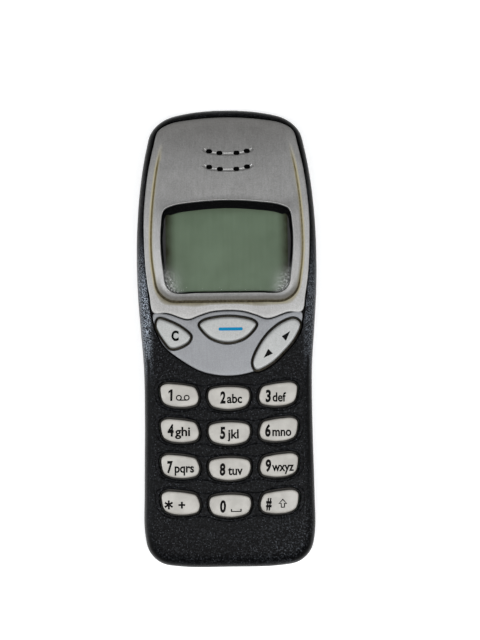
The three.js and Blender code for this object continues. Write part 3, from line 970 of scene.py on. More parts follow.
def carved(target: bmesh.types.BMesh, cutters: Sequence[bmesh.types.BMesh],
           mode: str = "DIFFERENCE") -> bmesh.types.BMesh:
    """A solid with others cut out of it, which don't meet each other.

    Args:
        target: The solid that is cut.
        cutters: The solids that are taken away.
        mode: The boolean's operation.

    Returns:
        What is left.
    """
    temporary = []
    for name, bm in (("target", target), ("cutter", joined(cutters))):
        mesh = bpy.data.meshes.new(name)
        bm.to_mesh(mesh)
        bm.free()
        temporary.append(bpy.data.objects.new(name, mesh))
        bpy.context.scene.collection.objects.link(temporary[-1])
    modifier = temporary[0].modifiers.new("cut", "BOOLEAN")
    modifier.operation = mode
    modifier.solver = "MANIFOLD"
    modifier.object = temporary[1]
    found = temporary[0].evaluated_get(bpy.context.evaluated_depsgraph_get())
    mesh = bpy.data.meshes.new_from_object(found)
    left = bmesh.new()
    left.from_mesh(mesh)
    bpy.data.meshes.remove(mesh)
    for item in temporary:
        own = item.data
        bpy.data.objects.remove(item)
        bpy.data.meshes.remove(own)
    return left


def swept(path: Sequence[Vector], radius: float, sides: int = 3, loop: bool = False) -> bmesh.types.BMesh:
    """A round cord of material along a path, in millimetres.

    Args:
        path: The points that the cord runs through.
        radius: The cord's radius.
        sides: The roundness of the cord.
        loop: Whether its ends meet.

    Returns:
        The cord.
    """
    curve = bpy.data.curves.new("path", "CURVE")
    curve.dimensions = "3D"
    curve.bevel_depth = radius
    curve.bevel_resolution = sides
    curve.use_fill_caps = True
    spline = curve.splines.new("POLY")
    spline.points.add(len(path) - 1)
    for point, place in zip(spline.points, path):
        point.co = (*place, 1)
    spline.use_cyclic_u = loop
    return from_curve(curve)


def from_curve(curve: bpy.types.Curve) -> bmesh.types.BMesh:
    """A curve or text as a mesh, and the curve removed.

    Args:
        curve: The curve or text, which is used up.

    Returns:
        Its mesh, with doubles merged and faces turned out.
    """
    holder = bpy.data.objects.new("curve", curve)
    bpy.context.scene.collection.objects.link(holder)
    found = holder.evaluated_get(bpy.context.evaluated_depsgraph_get())
    mesh = bpy.data.meshes.new_from_object(found)
    bm = bmesh.new()
    bm.from_mesh(mesh)
    bpy.data.objects.remove(holder)
    bpy.data.meshes.remove(mesh)
    bpy.data.curves.remove(curve)
    bmesh.ops.remove_doubles(bm, verts=bm.verts[:], dist=1e-5)
    bmesh.ops.recalc_face_normals(bm, faces=bm.faces[:])
    return bm


def finished(bm: bmesh.types.BMesh, name: str, look: Look, body: str, stands_for: Sequence[str] = (),
             sharp: float = 30, marks: dict[str, Height] | None = None) -> bpy.types.Object:
    """Makes a piece of the phone from a mesh in millimetres.

    Args:
        bm: The mesh.
        name: The piece's name.
        look: Its finish.
        body: The CAD body it rides on.
        stands_for: The CAD nodes it replaces.
        sharp: The angle in degrees past which an edge stays crisp.
        marks: Numbers to store on its points, each found from the point's place in millimetres.

    Returns:
        The object.
    """
    limit = math.radians(sharp)
    for face in bm.faces:
        face.smooth = True
    for edge in bm.edges:
        edge.smooth = len(edge.link_faces) == 2 and edge.calc_face_angle(0) < limit
    mesh = bpy.data.meshes.new(name)
    bm.to_mesh(mesh)
    bm.free()
    for mark, value in (marks or {}).items():
        stored = mesh.attributes.new(mark, "FLOAT", "POINT")
        stored.data.foreach_set("value", [value(*vert.co) for vert in mesh.vertices])
    mesh.transform(Matrix.Scale(MM, 4))
    mesh.materials.clear()
    mesh.materials.append(look.value.material())
    piece = bpy.data.objects.new(name, mesh)
    bpy.context.scene.collection.objects.link(piece)
    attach(piece, body)
    if stands_for:
        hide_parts(*stands_for)
    LOG.info("%s: %d faces", name, len(mesh.polygons))
    return piece


Half = Sequence[tuple[float, float]]
Rings = Sequence[tuple[float, Height]]
FILL = (0.86, 0.7, 0.54, 0.38, 0.22, 0.1, 0.0)


def pillow(outline: Outline, rings: Rings, spine: float = 0, fill: Sequence[float] = FILL) -> bmesh.types.BMesh:
    """A closed skin round a solid whose edge has a given section.

    Args:
        outline: The solid's outline.
        rings: The section from the underside's rim to the top's, as insets and heights.
        spine: Half the length of the line that the flat faces shrink to.
        fill: The shares that the rings across the flat faces shrink to.

    Returns:
        The solid.
    """
    skin = Skin()
    first, last = outline.inset(rings[0][0]), outline.inset(rings[-1][0])
    for share in reversed(fill):
        skin.ring(first.shrunk(share, spine), rings[0][1])
    for inset, height in rings:
        skin.ring(outline.inset(inset), height)
    for share in fill:
        skin.ring(last.shrunk(share, spine), rings[-1][1])
    return skin.closed()


def through(outline: Outline, gap: float, mouth: float, face: float = 0, depth: float = 6) -> bmesh.types.BMesh:
    """A cutter for an opening in the front with a rounded mouth.

    Args:
        outline: What goes through the opening.
        gap: The clearance round it.
        mouth: How much wider the opening is at the surface.
        face: How far the surface is below the case's front.
        depth: How deep the cutter goes.

    Returns:
        The cutter.
    """
    rings = [(-gap, CASE.under(face + depth)), (-gap, CASE.under(face + mouth * 1.2)),
             (-gap - mouth * 0.3, CASE.under(face + mouth * 0.45)), (-gap - mouth, CASE.under(face - 0.01)),
             (-gap - mouth - 0.3, CASE.under(face - 1.5))]
    return pillow(outline, rings, fill=(0.5, 0.0))


# ---------------------------------------------------------------- the phone's parts
@dataclass(frozen=True)
class Shapes:
    """The outlines that several pieces share; each half runs from the upper end's middle to the lower end's."""

    body_half: Half = ((0, 62), (10, 61.3), (16.6, 59.5), (20.2, 56.2), (21.7, 51.2), (23.4, 41), (24.4, 28),
                       (24.4, 14), (23.7, 3), (22.9, -8), (22.8, -22), (23.1, -42), (23.1, -52.5), (21.9, -57.6),
                       (18.7, -60.7), (13, -61.8), (0, -62))
    wave: Half = ((19.9, 6.7), (16.4, 6.6), (10.7, 4.9), (7.6, 5.9), (4.2, 6.9))
    wave_crest: float = 7.2
    plate_side: Half = ((0, 59.4), (9.6, 58.8), (15.3, 57.7), (18.2, 55.8), (19.5, 51.6), (21.1, 44), (22.2, 34),
                        (22.3, 26), (21.9, 18), (21, 11.5))
    panel_bowl: Half = ((19.4, 2.4), (17.2, -2.2), (12.4, -6.2), (6.8, -9.3), (0, -10.4))
    surround_half: Half = ((0, 57.6), (12, 56.4), (16.6, 53.4), (18.2, 47.8), (19.4, 40.4), (20.2, 32), (20.4, 24),
                           (19.8, 17.4), (18.6, 12.4), (15.6, 9.9), (10, 9.6), (0, 9.6))
    window_half: Half = ((0, 36.8), (8, 36.4), (14.4, 35.5), (16.9, 34.2), (17.7, 30), (17.8, 24), (17.2, 18),
                         (16.4, 13.8), (14.3, 12), (8, 11.9), (0, 11.9))
    seam_gap: float = 0.24

    def body(self) -> Outline:
        """The case, from the front."""
        return Outline.mirrored(self.body_half, 224)

    def plate(self) -> Outline:
        """The silver plate."""
        return Outline.mirrored((*self.plate_side, *self.wave, (0, self.wave_crest)), 600)

    def panel(self) -> Outline:
        """The panel round the function keys."""
        edge = [(x, y - self.seam_gap) for x, y in reversed(self.wave)]
        return Outline.mirrored(((0, self.wave_crest - self.seam_gap), *edge, *self.panel_bowl), 240)

    def recess(self) -> Outline:
        """The silver plate and the panel together."""
        return Outline.mirrored((*self.plate_side, (20.4, 6.5), *self.panel_bowl), 200)

    def surround(self) -> Outline:
        """The groove round the raised display surround."""
        return Outline.mirrored(self.surround_half, 600)

    def window(self) -> Outline:
        """The window's opening."""
        return Outline.mirrored(self.window_half, 600)


SHAPES = Shapes()


@dataclass(frozen=True)
class Key:
    """One key: its body and node, its outline and the place of its middle."""

    name: str
    outline: Outline
    middle: tuple[float, float]


@dataclass
class KeyLayout:
    """Where the fifteen keys are, in millimetres."""

    middle_half: Half = ((0, 2.96), (3.8, 2.62), (5.1, 2.1), (5.53, 1.2), (5.52, -0.3), (4.75, -1.9), (3.6, -2.55),
                         (0, -3.1))
    side: Half = ((4.95, 2.25), (3.7, 3.05), (0.9, 2.97), (-1.9, 2.6), (-4.1, 1.95), (-4.95, 0.3), (-5.12, -1.1),
                  (-4.5, -2.45), (-2.1, -3.12), (0.3, -3.18), (2.6, -2.8), (4.35, -1.8), (5.05, 0.7))
    navi_half: Half = ((0, 5.4), (4.2, 5), (6.6, 4.3), (7.55, 3.4), (6.6, 1.7), (4.2, -0.35), (0, -1.45))
    clear: Half = ((-18.6, 5), (-15.6, 4.2), (-12, 2.2), (-10.1, 0.2), (-11, -1.5), (-15.2, -2.9), (-17, -1.1),
                   (-19.2, 3.2))
    scroll: Half = ((18, 4.7), (15, 3.9), (11.2, 1.1), (8.4, -2.6), (6.65, -6.9), (7.4, -8.9), (11.2, -7.35),
                    (15, -3.9), (18.1, -0.1), (19.4, 3.4))
    rows: tuple[float, ...] = (-16.3, -25.75, -35.3, -45.1)
    side_x: float = 13.25
    side_lift: float = 0.85
    names: tuple[tuple[str, ...], ...] = (("key_1", "key_2", "key_3"), ("key_4", "key_5", "key_6"),
                                          ("key_7", "key_8", "key_9"), ("key_star", "key_0", "key_hash"))
    points: int = 78

    def numbers(self) -> list[Key]:
        """The twelve number keys.

        Returns:
            The keys, row by row from the upper left.
        """
        right = Outline.through(self.side, self.points)
        shapes = (right.flipped(), Outline.mirrored(self.middle_half, self.points), right)
        made = []
        for names, y in zip(self.names, self.rows):
            for column, name in enumerate(names):
                middle = ((column - 1) * self.side_x, y + (self.side_lift if column != 1 else 0))
                made.append(Key(name, shapes[column].moved(*middle), middle))
        return made

    def functions(self) -> list[Key]:
        """The menu, clear and scroll keys.

        Returns:
            The keys, each with its outline.
        """
        return [Key("navi_key", Outline.mirrored(self.navi_half, self.points), (0, 2.3)),
                Key("clear_key", Outline.through(self.clear, self.points), (-14.6, 1)),
                Key("scroll_key", Outline.through(self.scroll, self.points), (13.1, -1.8))]


LAYOUT = KeyLayout()


@dataclass
class FrontCase:
    """The charcoal front cover, with the recess for the silver trim and the trays that the keys stand in."""

    edge: tuple[tuple[float, float], ...] = ((0.04, 7.5), (0.12, 5.2), (0.22, 3.8), (0.38, 2.8), (0.62, 1.95),
                                             (0.95, 1.26), (1.4, 0.72), (1.95, 0.36), (2.6, 0.13), (3.3, 0.03),
                                             (4.0, 0.0))
    wall: float = 1.6
    roof: float = 1.6
    spine: float = 36
    recess_depth: float = 1.0
    recess_gap: float = 0.45
    key_gap: float = 0.56
    key_mouth: float = 0.26
    function_gap: float = 0.62
    tray_depth: float = 0.26
    tray_half: Half = ((0, 4.15), (3.6, 3.85), (6.6, 3.45), (8.9, 3.8), (12.5, 4.95), (17.0, 5.2), (19.6, 4.2),
                       (20.1, 1.9), (19.5, -0.9), (17.9, -2.6), (14.6, -3.65), (11.5, -3.7), (9.0, -3.15),
                       (6.3, -3.2), (3.6, -4.05), (0, -4.4))

    def shell(self) -> bmesh.types.BMesh:
        """The hollow cover before anything is cut.

        Returns:
            The shell.
        """
        body = SHAPES.body()
        seam = level(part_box("front_cover")[0].z / MM)
        hollow = [(self.wall + 2, CASE.under(self.roof)), (self.wall + 1, CASE.under(self.roof + 0.6)),
                  (self.wall + 0.1, CASE.under(4.4)), (self.wall, seam)]
        lip = [(self.wall, seam), (0.12, seam), (0.0, lambda x, y: seam(x, y) + 0.14)]
        rings = [*hollow, *lip, *((inset, CASE.under(drop)) for inset, drop in self.edge)]
        return pillow(body, rings, self.spine, (0.94, 0.85, 0.75, 0.65, 0.55, 0.45, 0.35, 0.25, 0.15, 0.07, 0))

    def tray(self, y: float) -> bmesh.types.BMesh:
        """The cutter for the shallow tray that one row of keys stands in.

        Args:
            y: The middle of the row's place along.

        Returns:
            The cutter.
        """
        deep, shallow = CASE.under(self.tray_depth), CASE.under(-0.02)
        rings = [(0.30, deep), (0.20, CASE.under(self.tray_depth * 0.86)),
                 (0.05, CASE.under(self.tray_depth * 0.2)),
                 (0.0, shallow), (-0.1, CASE.under(-1))]
        return pillow(Outline.mirrored(self.tray_half, 144).moved(0, y), rings)

    def build(self) -> None:
        """Cuts the cover and finishes it."""
        recess = pillow(SHAPES.recess().inset(-self.recess_gap),
                        [(0, CASE.under(self.recess_depth)), (0, CASE.under(0.3)), (-0.14, CASE.under(-1.5))], 20)
        trays = [self.tray(y) for y in LAYOUT.rows]
        cover = carved(self.shell(), [recess, *trays])
        numbers = [through(key.outline, self.key_gap, self.key_mouth, self.tray_depth)
                   for key in LAYOUT.numbers()]
        functions = [through(key.outline, self.function_gap, 0.1, self.recess_depth)
                     for key in LAYOUT.functions()]
        opening = through(SHAPES.window().inset(-1.2), 0, 0.1, self.recess_depth)
        low, high = (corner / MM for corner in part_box("system_connector"))
        socket = brick((low.x - 0.3, low.y - 3, CASE.seam - 2), (high.x + 0.3, high.y - 2.6, high.z + 0.3), 0.25)
        low, high = (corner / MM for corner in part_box("power_button"))
        button = brick((low.x + 0.6, high.y - 4.6, CASE.seam - 2), (high.x - 0.6, high.y + 3, high.z + 0.4), 0.8)
        cover = carved(cover, [*numbers, *functions, opening, socket, button, *DisplayTrim().sound_holes()])
        finished(cover, "charcoal_front_cover", Look.CHARCOAL, "front_cover", ["front_cover"],
                 marks={"depth_shade": self.depth_shade})

    def depth_shade(self, x: float, y: float, z: float) -> float:
        """How much painted shade there is: full down in the wells and the recess."""
        return ease(CASE.front(x, y) - z, self.tray_depth + 0.04, 0.5) if abs(y) < 60 and abs(x) < 21.6 else 0.0


@dataclass
class DisplayTrim:
    """The silver plate round the display, the window and what is seen through it."""

    centre: tuple[float, float] = (0, 25)
    rays: int = 360
    thickness: float = 0.8
    height: float = 0.68
    groove_depth: float = 0.34
    groove_top: tuple[float, float] = (45, 53)
    hole_rows: tuple[tuple[tuple[float, float], ...], ...] = (
        ((-4.5, 50.15), (-1.7, 49.65), (2.9, 49.65), (5.7, 50.15)),
        ((-4.5, 45.85), (-1.6, 45.25), (2.8, 45.25), (5.7, 45.85)))
    hole_middle: float = 0.6
    hole_width: float = 1.7
    hole_height: float = 1.2
    smile: Half = ((-6.7, 1.25), (-6.1, 0.75), (-5.1, 0.3), (-3.8, 0.05), (-2.2, -0.12), (0, -0.18),
                   (2.2, -0.12), (3.8, 0.05), (5.1, 0.3), (6.1, 0.75), (6.7, 1.25))
    smile_radius: float = 0.85
    smile_depth: float = 0.24
    lip: Half = ((-0.40, 1.00), (-0.32, 1.07), (-0.22, 1.09), (-0.12, 1.04), (-0.03, 0.88), (0.0, 0.6),
                 (0.0, -0.6))
    groove: Half = ((-0.42, 0.0), (-0.26, 0.12), (-0.14, 0.75), (-0.02, 1.0), (0.12, 0.8), (0.24, 0.2))
    visible_inset: tuple[float, float, float] = (2.0, 0.55, 0.45)

    def fade(self, y: float) -> float:
        """How much of the groove there is; it runs out towards the upper end."""
        return 1 - ease(y, *self.groove_top)

    def plate(self) -> bmesh.types.BMesh:
        """The plate with its rim, groove, sloping band and lip.

        Returns:
            The plate, before its window and its sound holes are cut.
        """
        outer = SHAPES.plate().rays(self.centre, self.rays)
        groove = SHAPES.surround().rays(self.centre, self.rays)
        inner = SHAPES.window().rays(self.centre, self.rays)
        under = CASE.under(self.thickness)
        skin = Skin()
        skin.ring(inner, under)
        for share in (0.7, 0.35):
            skin.ring(outer.toward(inner, share), under)
        for inset, drop in ((0.0, self.thickness), (0.0, 0.12), (0.03, 0.05), (0.11, 0.0), (0.3, -0.02)):
            skin.ring(outer.inset(inset), CASE.under(drop))
        for share in (0.25, 0.5, 0.72):
            skin.ring(outer.inset(0.3).toward(groove.inset(-0.42), share), CASE.under(-0.02))
        for inset, depth in self.groove:
            skin.ring(groove.inset(inset), self._grooved(depth))
        start, end = groove.inset(0.34), inner.inset(-0.48)
        for share in (0.0, 0.04, 0.12, 0.28, 0.46, 0.64, 0.82, 0.94, 1.0):
            skin.ring(start.toward(end, share), self._banded(share))
        for inset, lift in self.lip:
            skin.ring(inner.inset(inset), self._raised(lift))
        skin.ring(inner, under)
        return skin.closed()

    def _band(self, share: float, y: float) -> float:
        """The raise of the band round the window, from the groove at 0 to the lip at 1.

        Args:
            share: How far across the band, from the groove.
            y: The place along the phone; towards the upper end the shoulder at the groove runs out.

        Returns:
            The share of the full raise.
        """
        shoulder = 0.06 + 0.16 * ease(share, 0.0, 0.14)
        gentle = 0.22 * ease(share, 0.0, 1.0)
        return gentle + (shoulder - gentle) * self.fade(y) + 0.76 * share

    def _banded(self, share: float) -> Height:
        """The height on the band, at a share of its width."""
        return lambda x, y: CASE.front(x, y) + 0.02 + self.height * self._band(share, y)

    def _grooved(self, share: float) -> Height:
        """The height in the groove, at a share of its depth."""
        return lambda x, y: CASE.front(x, y) + 0.02 - share * self.groove_depth * self.fade(y)

    def _raised(self, share: float) -> Height:
        """The height on the surround, at a share of its raise."""
        return lambda x, y: CASE.front(x, y) + 0.02 + share * self.height

    def sound_holes(self) -> list[bmesh.types.BMesh]:
        """The cutters for the earpiece's holes."""
        slot = Outline.oblong(self.hole_width, self.hole_height, self.hole_height / 2 - 0.01, 6)
        return [prism(slot.moved(x, y), CASE.under(3), CASE.under(-3))
                for row in self.hole_rows for x, y in row]

    def smiles(self) -> list[bmesh.types.BMesh]:
        """The cutters for the two smiling grooves that join the earpiece's holes.

        Returns:
            One cutter for each row of holes.
        """
        grooves = []
        for row in self.hole_rows:
            level_y = sum(y for _, y in row[1:3]) / 2
            path = []
            for x, lift in self.smile:
                here = (x + self.hole_middle, level_y + lift)
                path.append(Vector((*here, self._skin(*here) + self.smile_radius - self.smile_depth)))
            grooves.append(swept(path, self.smile_radius, 16))
        return grooves

    def _skin(self, x: float, y: float) -> float:
        """The plate's height between the window and the upper end."""
        share = max(0.0, min(1.0, (57.2 - y) / (57.2 - 37.4)))
        return CASE.front(x, y) + 0.02 + self.height * self._band(share, y)

    def dirt(self) -> dict[str, Height]:
        """The dirt in the groove, the painted shade on the band beside its lower edge, and the yellow stain beside
        it.

        Returns:
            The marks by name, as heights over the piece.
        """
        groove = SHAPES.surround().near()

        def packed_and_shaded(x: float, y: float, z: float) -> float:
            """Dirt, deepest in the groove along the lower edge, and painted shade with a brown tint on the raised
            band beside that edge.

            Args:
                x: The place across.
                y: The place along.
                z: The height.

            Returns:
                How much dirt and painted shade there is, from 0 to 1.
            """
            away = groove.find((x, y, 0))[2]
            width = 0.27 + 0.20 * ease(-y, -18, -10) - 0.07 * ease(x, 5, 15)
            # Painted shade: the raised band along the lower edge is darkened with the dirt's brown tone.
            painted_band_shade = 0.6 * ease(-y, -17, -11) * (1 - ease(away, 1.2, 1.7)) if z > CASE.front(x, y) + 0.05 else 0.0
            return max(painted_band_shade, 1 - ease(away, width - 0.16, width + 0.1)) * self.fade(y)

        def stained(x: float, y: float, z: float) -> float:
            """A yellow stain, mostly on the outer side of the groove.

            Args:
                x: The place across.
                y: The place along.
                z: The height.

            Returns:
                How yellow it is, from 0 to 1.
            """
            away = groove.find((x, y, 0))[2]
            outside = 1.0 if z < CASE.front(x, y) + 0.05 else 0.35
            return (1 - ease(away, 0.35, 0.85)) * outside * self.fade(y)

        return {"dirt": packed_and_shaded, "stain": stained}

    def visible(self) -> Outline:
        """The part of the display that the printed mask leaves clear.

        Returns:
            The outline of the clear part.
        """
        window = SHAPES.window()
        top, side, bottom = self.visible_inset
        made = []
        for near, far in zip(window.points, window.inset(1).points):
            inward = far - near
            reach = side * abs(inward.x) + (top if inward.y < 0 else bottom) * abs(inward.y)
            made.append(near + inward * reach)
        return Outline(made)

    def window(self) -> None:
        """The clear window, its printed mask and the display under it."""
        outline = Outline.mirrored(SHAPES.window_half, 160)
        rings = [(-0.8, CASE.under(1.62)), (-0.8, CASE.under(1.14)), (0.1, CASE.under(1.12)),
                 (0.1, CASE.under(0.16)), (0.16, CASE.under(0.05)), (0.32, CASE.under(0.0))]
        finished(pillow(outline, rings), "clear_window", Look.WINDOW, "front_cover",
                 ["display_window"])
        skin = Skin()
        rim, opening = SHAPES.window().inset(-0.7), self.visible()
        skin.ring(opening, CASE.under(1.66)).ring(rim, CASE.under(1.66)).ring(rim, CASE.under(1.72))
        skin.ring(opening, CASE.under(1.72)).ring(opening, CASE.under(1.66))
        finished(skin.closed(), "window_mask", Look.MASK, "front_cover")

    def display(self) -> None:
        """The display's glass, in its dark gasket."""
        low, high = (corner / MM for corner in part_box("lcd_glass"))
        finished(brick((low.x - 0.9, low.y, low.z), (high.x + 0.9, high.y, high.z), 0.12, 2), "display_panel",
                 Look.DISPLAY, "chassis", ["lcd_glass"])
        ring = carved(brick((-17.3, low.y - 1.5, high.z - 0.05), (17.3, high.y + 1.5, high.z + 0.5)),
                      [brick((-16.5, low.y + 0.1, high.z - 1), (16.5, high.y - 0.1, high.z + 2))])
        finished(ring, "display_gasket", Look.RUBBER, "chassis")

    def build(self) -> None:
        """Makes the plate, the window and the display."""
        plate = carved(carved(self.plate(), self.smiles()), self.sound_holes())
        finished(plate, "silver_display_plate", Look.SILVER, "front_cover", ["silver_fascia"],
                 marks=self.dirt())
        sheet = Outline.oblong(14, 8.4, 2.5).moved(0, 48.5)
        gauze = pillow(sheet, [(0, CASE.under(1.85)), (0, CASE.under(1.65))])
        finished(gauze, "earpiece_gauze", Look.MASK, "front_cover")
        self.window()
        self.display()


@dataclass
class FunctionPanel:
    """The blue-silver panel round the menu, clear and scroll keys."""

    thickness: float = 0.8
    gap: float = 0.55
    mouth: float = 0.16

    def build(self) -> None:
        """Cuts the panel round its keys."""
        rings = [(0, CASE.under(self.thickness)), (0, CASE.under(0.12)), (0.03, CASE.under(0.05)),
                 (0.11, CASE.under(0.01)), (0.26, CASE.under(0.0))]
        cutters = [through(key.outline, self.gap, self.mouth) for key in LAYOUT.functions()]
        panel = carved(pillow(SHAPES.panel(), rings), cutters)
        finished(panel, "silver_function_panel", Look.SILVER_BLUE, "front_cover",
                 ["function_key_panel"], marks={"dirt": self.dirt, "stain": lambda x, y, z: 0.0})

    def dirt(self, x: float, y: float, z: float) -> float:
        """Painted shade down in the gaps round the keys."""
        return ease(CASE.front(x, y) - z, 0.25, 0.6) * 0.8


@dataclass(frozen=True)
class Legend:
    """What is printed on one number key, placed from the key's middle in millimetres."""

    digit: str
    left: float
    base: float
    width: float
    words: str = ""
    words_left: float = 0.0
    words_width: float = 0.0


@dataclass
class Keypad:
    """The keys and what is printed on them."""

    rise: float = 0.8
    drop: float = 2.3
    cap_inset: float = 0.06
    edge: Half = ((0, -0.30), (0.03, -0.50), (0.10, -0.63), (0.21, -0.73), (0.36, -0.785), (0.55, -0.80))
    ink: float = 0.035
    digit_height: float = 3.1
    tall_height: float = 2.4
    digit_weight: float = 0.043
    words_weight: float = 0.026
    stroke_width: float = 0.40
    one: Half = ((-2.48, -1.53), (-1.92, -1.53), (-1.80, 1.57), (-2.28, 1.57), (-2.92, 1.05), (-2.95, 0.48),
                 (-2.42, 0.82))
    legends: tuple[Legend, ...] = (
        Legend("", 0.0, -1.53, 0.0), Legend("2", -2.35, -1.40, 1.43, "abc", -0.53, 4.05),
        Legend("3", -3.43, -1.98, 1.38, "def", -1.55, 3.64),
        Legend("4", -3.33, -1.45, 1.64, "ghi", -1.30, 4.05),
        Legend("5", -2.52, -1.42, 1.38, "jkl", -0.54, 3.04),
        Legend("6", -3.71, -1.78, 1.50, "mno", -1.73, 5.10),
        Legend("7", -3.56, -1.66, 1.48, "pqrs", -1.52, 5.20),
        Legend("8", -2.75, -1.62, 1.50, "tuv", -0.50, 3.95),
        Legend("9", -3.73, -1.60, 1.50, "wxyz", -1.96, 5.90), Legend("", 0.0, -1.56, 0.0),
        Legend("0", -2.80, -1.70, 1.60), Legend("#", -3.70, -1.82, 1.49))

    def top(self, x: float, y: float) -> float:
        """The height of a key's flat top."""
        return CASE.front(x, y) + self.rise

    def cap(self, key: Key, look: Look, slot: str) -> None:
        """One key cap with its flange and the post under it.

        Args:
            key: The key.
            look: Its finish.
            slot: Not used.
        """
        deep = CASE.under(self.drop)
        rings = [(-0.5, CASE.under(self.drop + 0.4)), (-0.5, deep), (0, deep),
                 *((inset, CASE.under(lift)) for inset, lift in self.edge)]
        cap = pillow(key.outline.inset(self.cap_inset), rings)
        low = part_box(key.name)[0].z / MM
        stem = post(key.middle, low, CASE.front(*key.middle) - self.drop - 0.3, 1.3)
        # Both marks paint shade on the key's foot, where it goes down into its gap.
        finished(joined([cap, stem]), f"{key.name}_cap", look, key.name, [key.name],
                 marks={"depth_shade": lambda x, y, z: ease(CASE.front(x, y) - z, -0.42, 0.15), "dirt": self.foot,
                        "stain": lambda x, y, z: 0.0})

    @staticmethod
    def foot(x: float, y: float, z: float) -> float:
        """Painted shade at the foot of a painted key."""
        return ease(CASE.front(x, y) - z, -0.35, 0.2)

    def laid(self, flat: bmesh.types.BMesh) -> bmesh.types.BMesh:
        """Lays a flat shape between z = -1 and 1 on the keys' tops.

        Args:
            flat: The shape, which is changed.

        Returns:
            The same shape in its place.
        """
        for vert in flat.verts:
            vert.co.z = self.top(vert.co.x, vert.co.y) + (self.ink if vert.co.z > 0 else -0.03)
        return flat

    @staticmethod
    def type_set(text: str, weight: float) -> bmesh.types.BMesh:
        """Some text one unit in size, as a solid on the origin's baseline.

        Args:
            text: What it says.
            weight: How much the strokes are thickened, in the type's own units.

        Returns:
            The text, between z = -1 and 1.
        """
        curve = bpy.data.curves.new("type", "FONT")
        curve.body = text
        curve.extrude = 1
        curve.offset = weight
        curve.resolution_u = 5
        return from_curve(curve)

    def lettering(self, text: str, left: float, base: float, width: float, height: float, weight: float,
                  lean: float = 0) -> bmesh.types.BMesh:
        """Text set to a width and a height.

        Args:
            text: What it says.
            left: Its left side.
            base: Its baseline.
            width: Its whole width.
            height: The height of a tall letter or a digit.
            weight: How much the strokes are thickened, in the type's own units.
            lean: How far the tall letters' tops lean to the right.

        Returns:
            The text as a flat solid between z = -1 and 1.
        """
        sample = self.type_set("d" if text.isalpha() else "1", weight)
        tall = max(vert.co.y for vert in sample.verts)
        sample.free()
        made = self.type_set(text, weight)
        start, end = min(v.co.x for v in made.verts), max(v.co.x for v in made.verts)
        for vert in made.verts:
            rise = vert.co.y / tall
            vert.co.x = left + (vert.co.x - start) / (end - start) * width + rise * lean
            vert.co.y = base + rise * height
        return made

    @staticmethod
    def stroke(points: Sequence[tuple[float, float]], width: float, loop: bool = False) -> bmesh.types.BMesh:
        """A drawn line of some width, as a flat solid between z = -1 and 1.

        Args:
            points: The places that the line runs through.
            width: Its width.
            loop: Whether its ends meet.

        Returns:
            The line.
        """
        cord = swept([Vector((x, y, 0)) for x, y in points], width / 2, 2, loop)
        for vert in cord.verts:
            vert.co.z = math.copysign(1, vert.co.z)
        return cord

    def circle(self, x: float, y: float, radius: float, width: float) -> bmesh.types.BMesh:
        """A drawn circle."""
        turns = [math.tau * step / 28 for step in range(28)]
        return self.stroke([(x + radius * math.cos(t), y + radius * math.sin(t)) for t in turns], width, True)

    def star(self, x: float, y: float, reach: float, arms: int) -> list[bmesh.types.BMesh]:
        """Strokes that cross at one point.

        Args:
            x: The place of the crossing across.
            y: The place of the crossing along.
            reach: Half the length of a stroke.
            arms: How many strokes cross.

        Returns:
            The strokes.
        """
        turns = [math.pi / 2 + math.pi * step / arms for step in range(arms)]
        width = self.stroke_width * 1.35
        return [self.stroke([(x - reach * math.cos(t), y - reach * math.sin(t)),
                             (x + reach * math.cos(t), y + reach * math.sin(t))], width) for t in turns]

    def symbols(self, name: str, x: float, y: float) -> list[bmesh.types.BMesh]:
        """The drawn marks on a key: tape reels, a star and a plus, a space bar or a raised arrow.

        Args:
            name: The key's body.
            x: The place of the key's middle across.
            y: The place of the key's middle along.

        Returns:
            The marks as flat solids between z = -1 and 1.
        """
        width = self.stroke_width
        if name == "key_1":
            one = Outline([Vector((x + px, y + py)) for px, py in self.one])
            reels = [self.circle(x + place, y - 0.72, 0.62, width * 0.85) for place in (-0.15, 1.95)]
            bar = self.stroke([(x - 0.15, y - 1.34), (x + 1.95, y - 1.34)], width * 0.85)
            return [prism(one, level(-1), level(1)), *reels, bar]
        if name == "key_star":
            return [*self.star(x - 3.2, y - 0.5, 1.2, 3), *self.star(x + 0.3, y - 0.6, 0.9, 2)]
        if name == "key_0":
            corners = ((0.32, -0.95), (0.32, -1.6), (2.82, -1.6), (2.82, -0.95))
            return [self.stroke([(x + px, y + py) for px, py in corners], width)]
        if name == "key_hash":
            arrow = ((0, 1.05), (1.05, -0.05), (0.45, -0.05), (0.45, -1.05), (-0.45, -1.05), (-0.45, -0.05),
                     (-1.05, -0.05))
            return [self.stroke([(x + 0.84 + px, y - 0.47 + py) for px, py in arrow], width, True)]
        return []

    def printing(self, key: Key, legend: Legend) -> None:
        """What is printed on a number key.

        Args:
            key: The key.
            legend: What it says and where.
        """
        x, y = key.middle
        base = y + legend.base
        shapes = self.symbols(key.name, x, y)
        if legend.digit:
            shapes.append(self.lettering(legend.digit, x + legend.left, base, legend.width, self.digit_height,
                                         self.digit_weight, 0.12))
        if legend.words:
            shapes.append(self.lettering(legend.words, x + legend.words_left, base, legend.words_width,
                                         self.tall_height, self.words_weight))
        finished(self.laid(joined(shapes)), f"{key.name}_print", Look.BLACK_INK, key.name,
                 sharp=20)

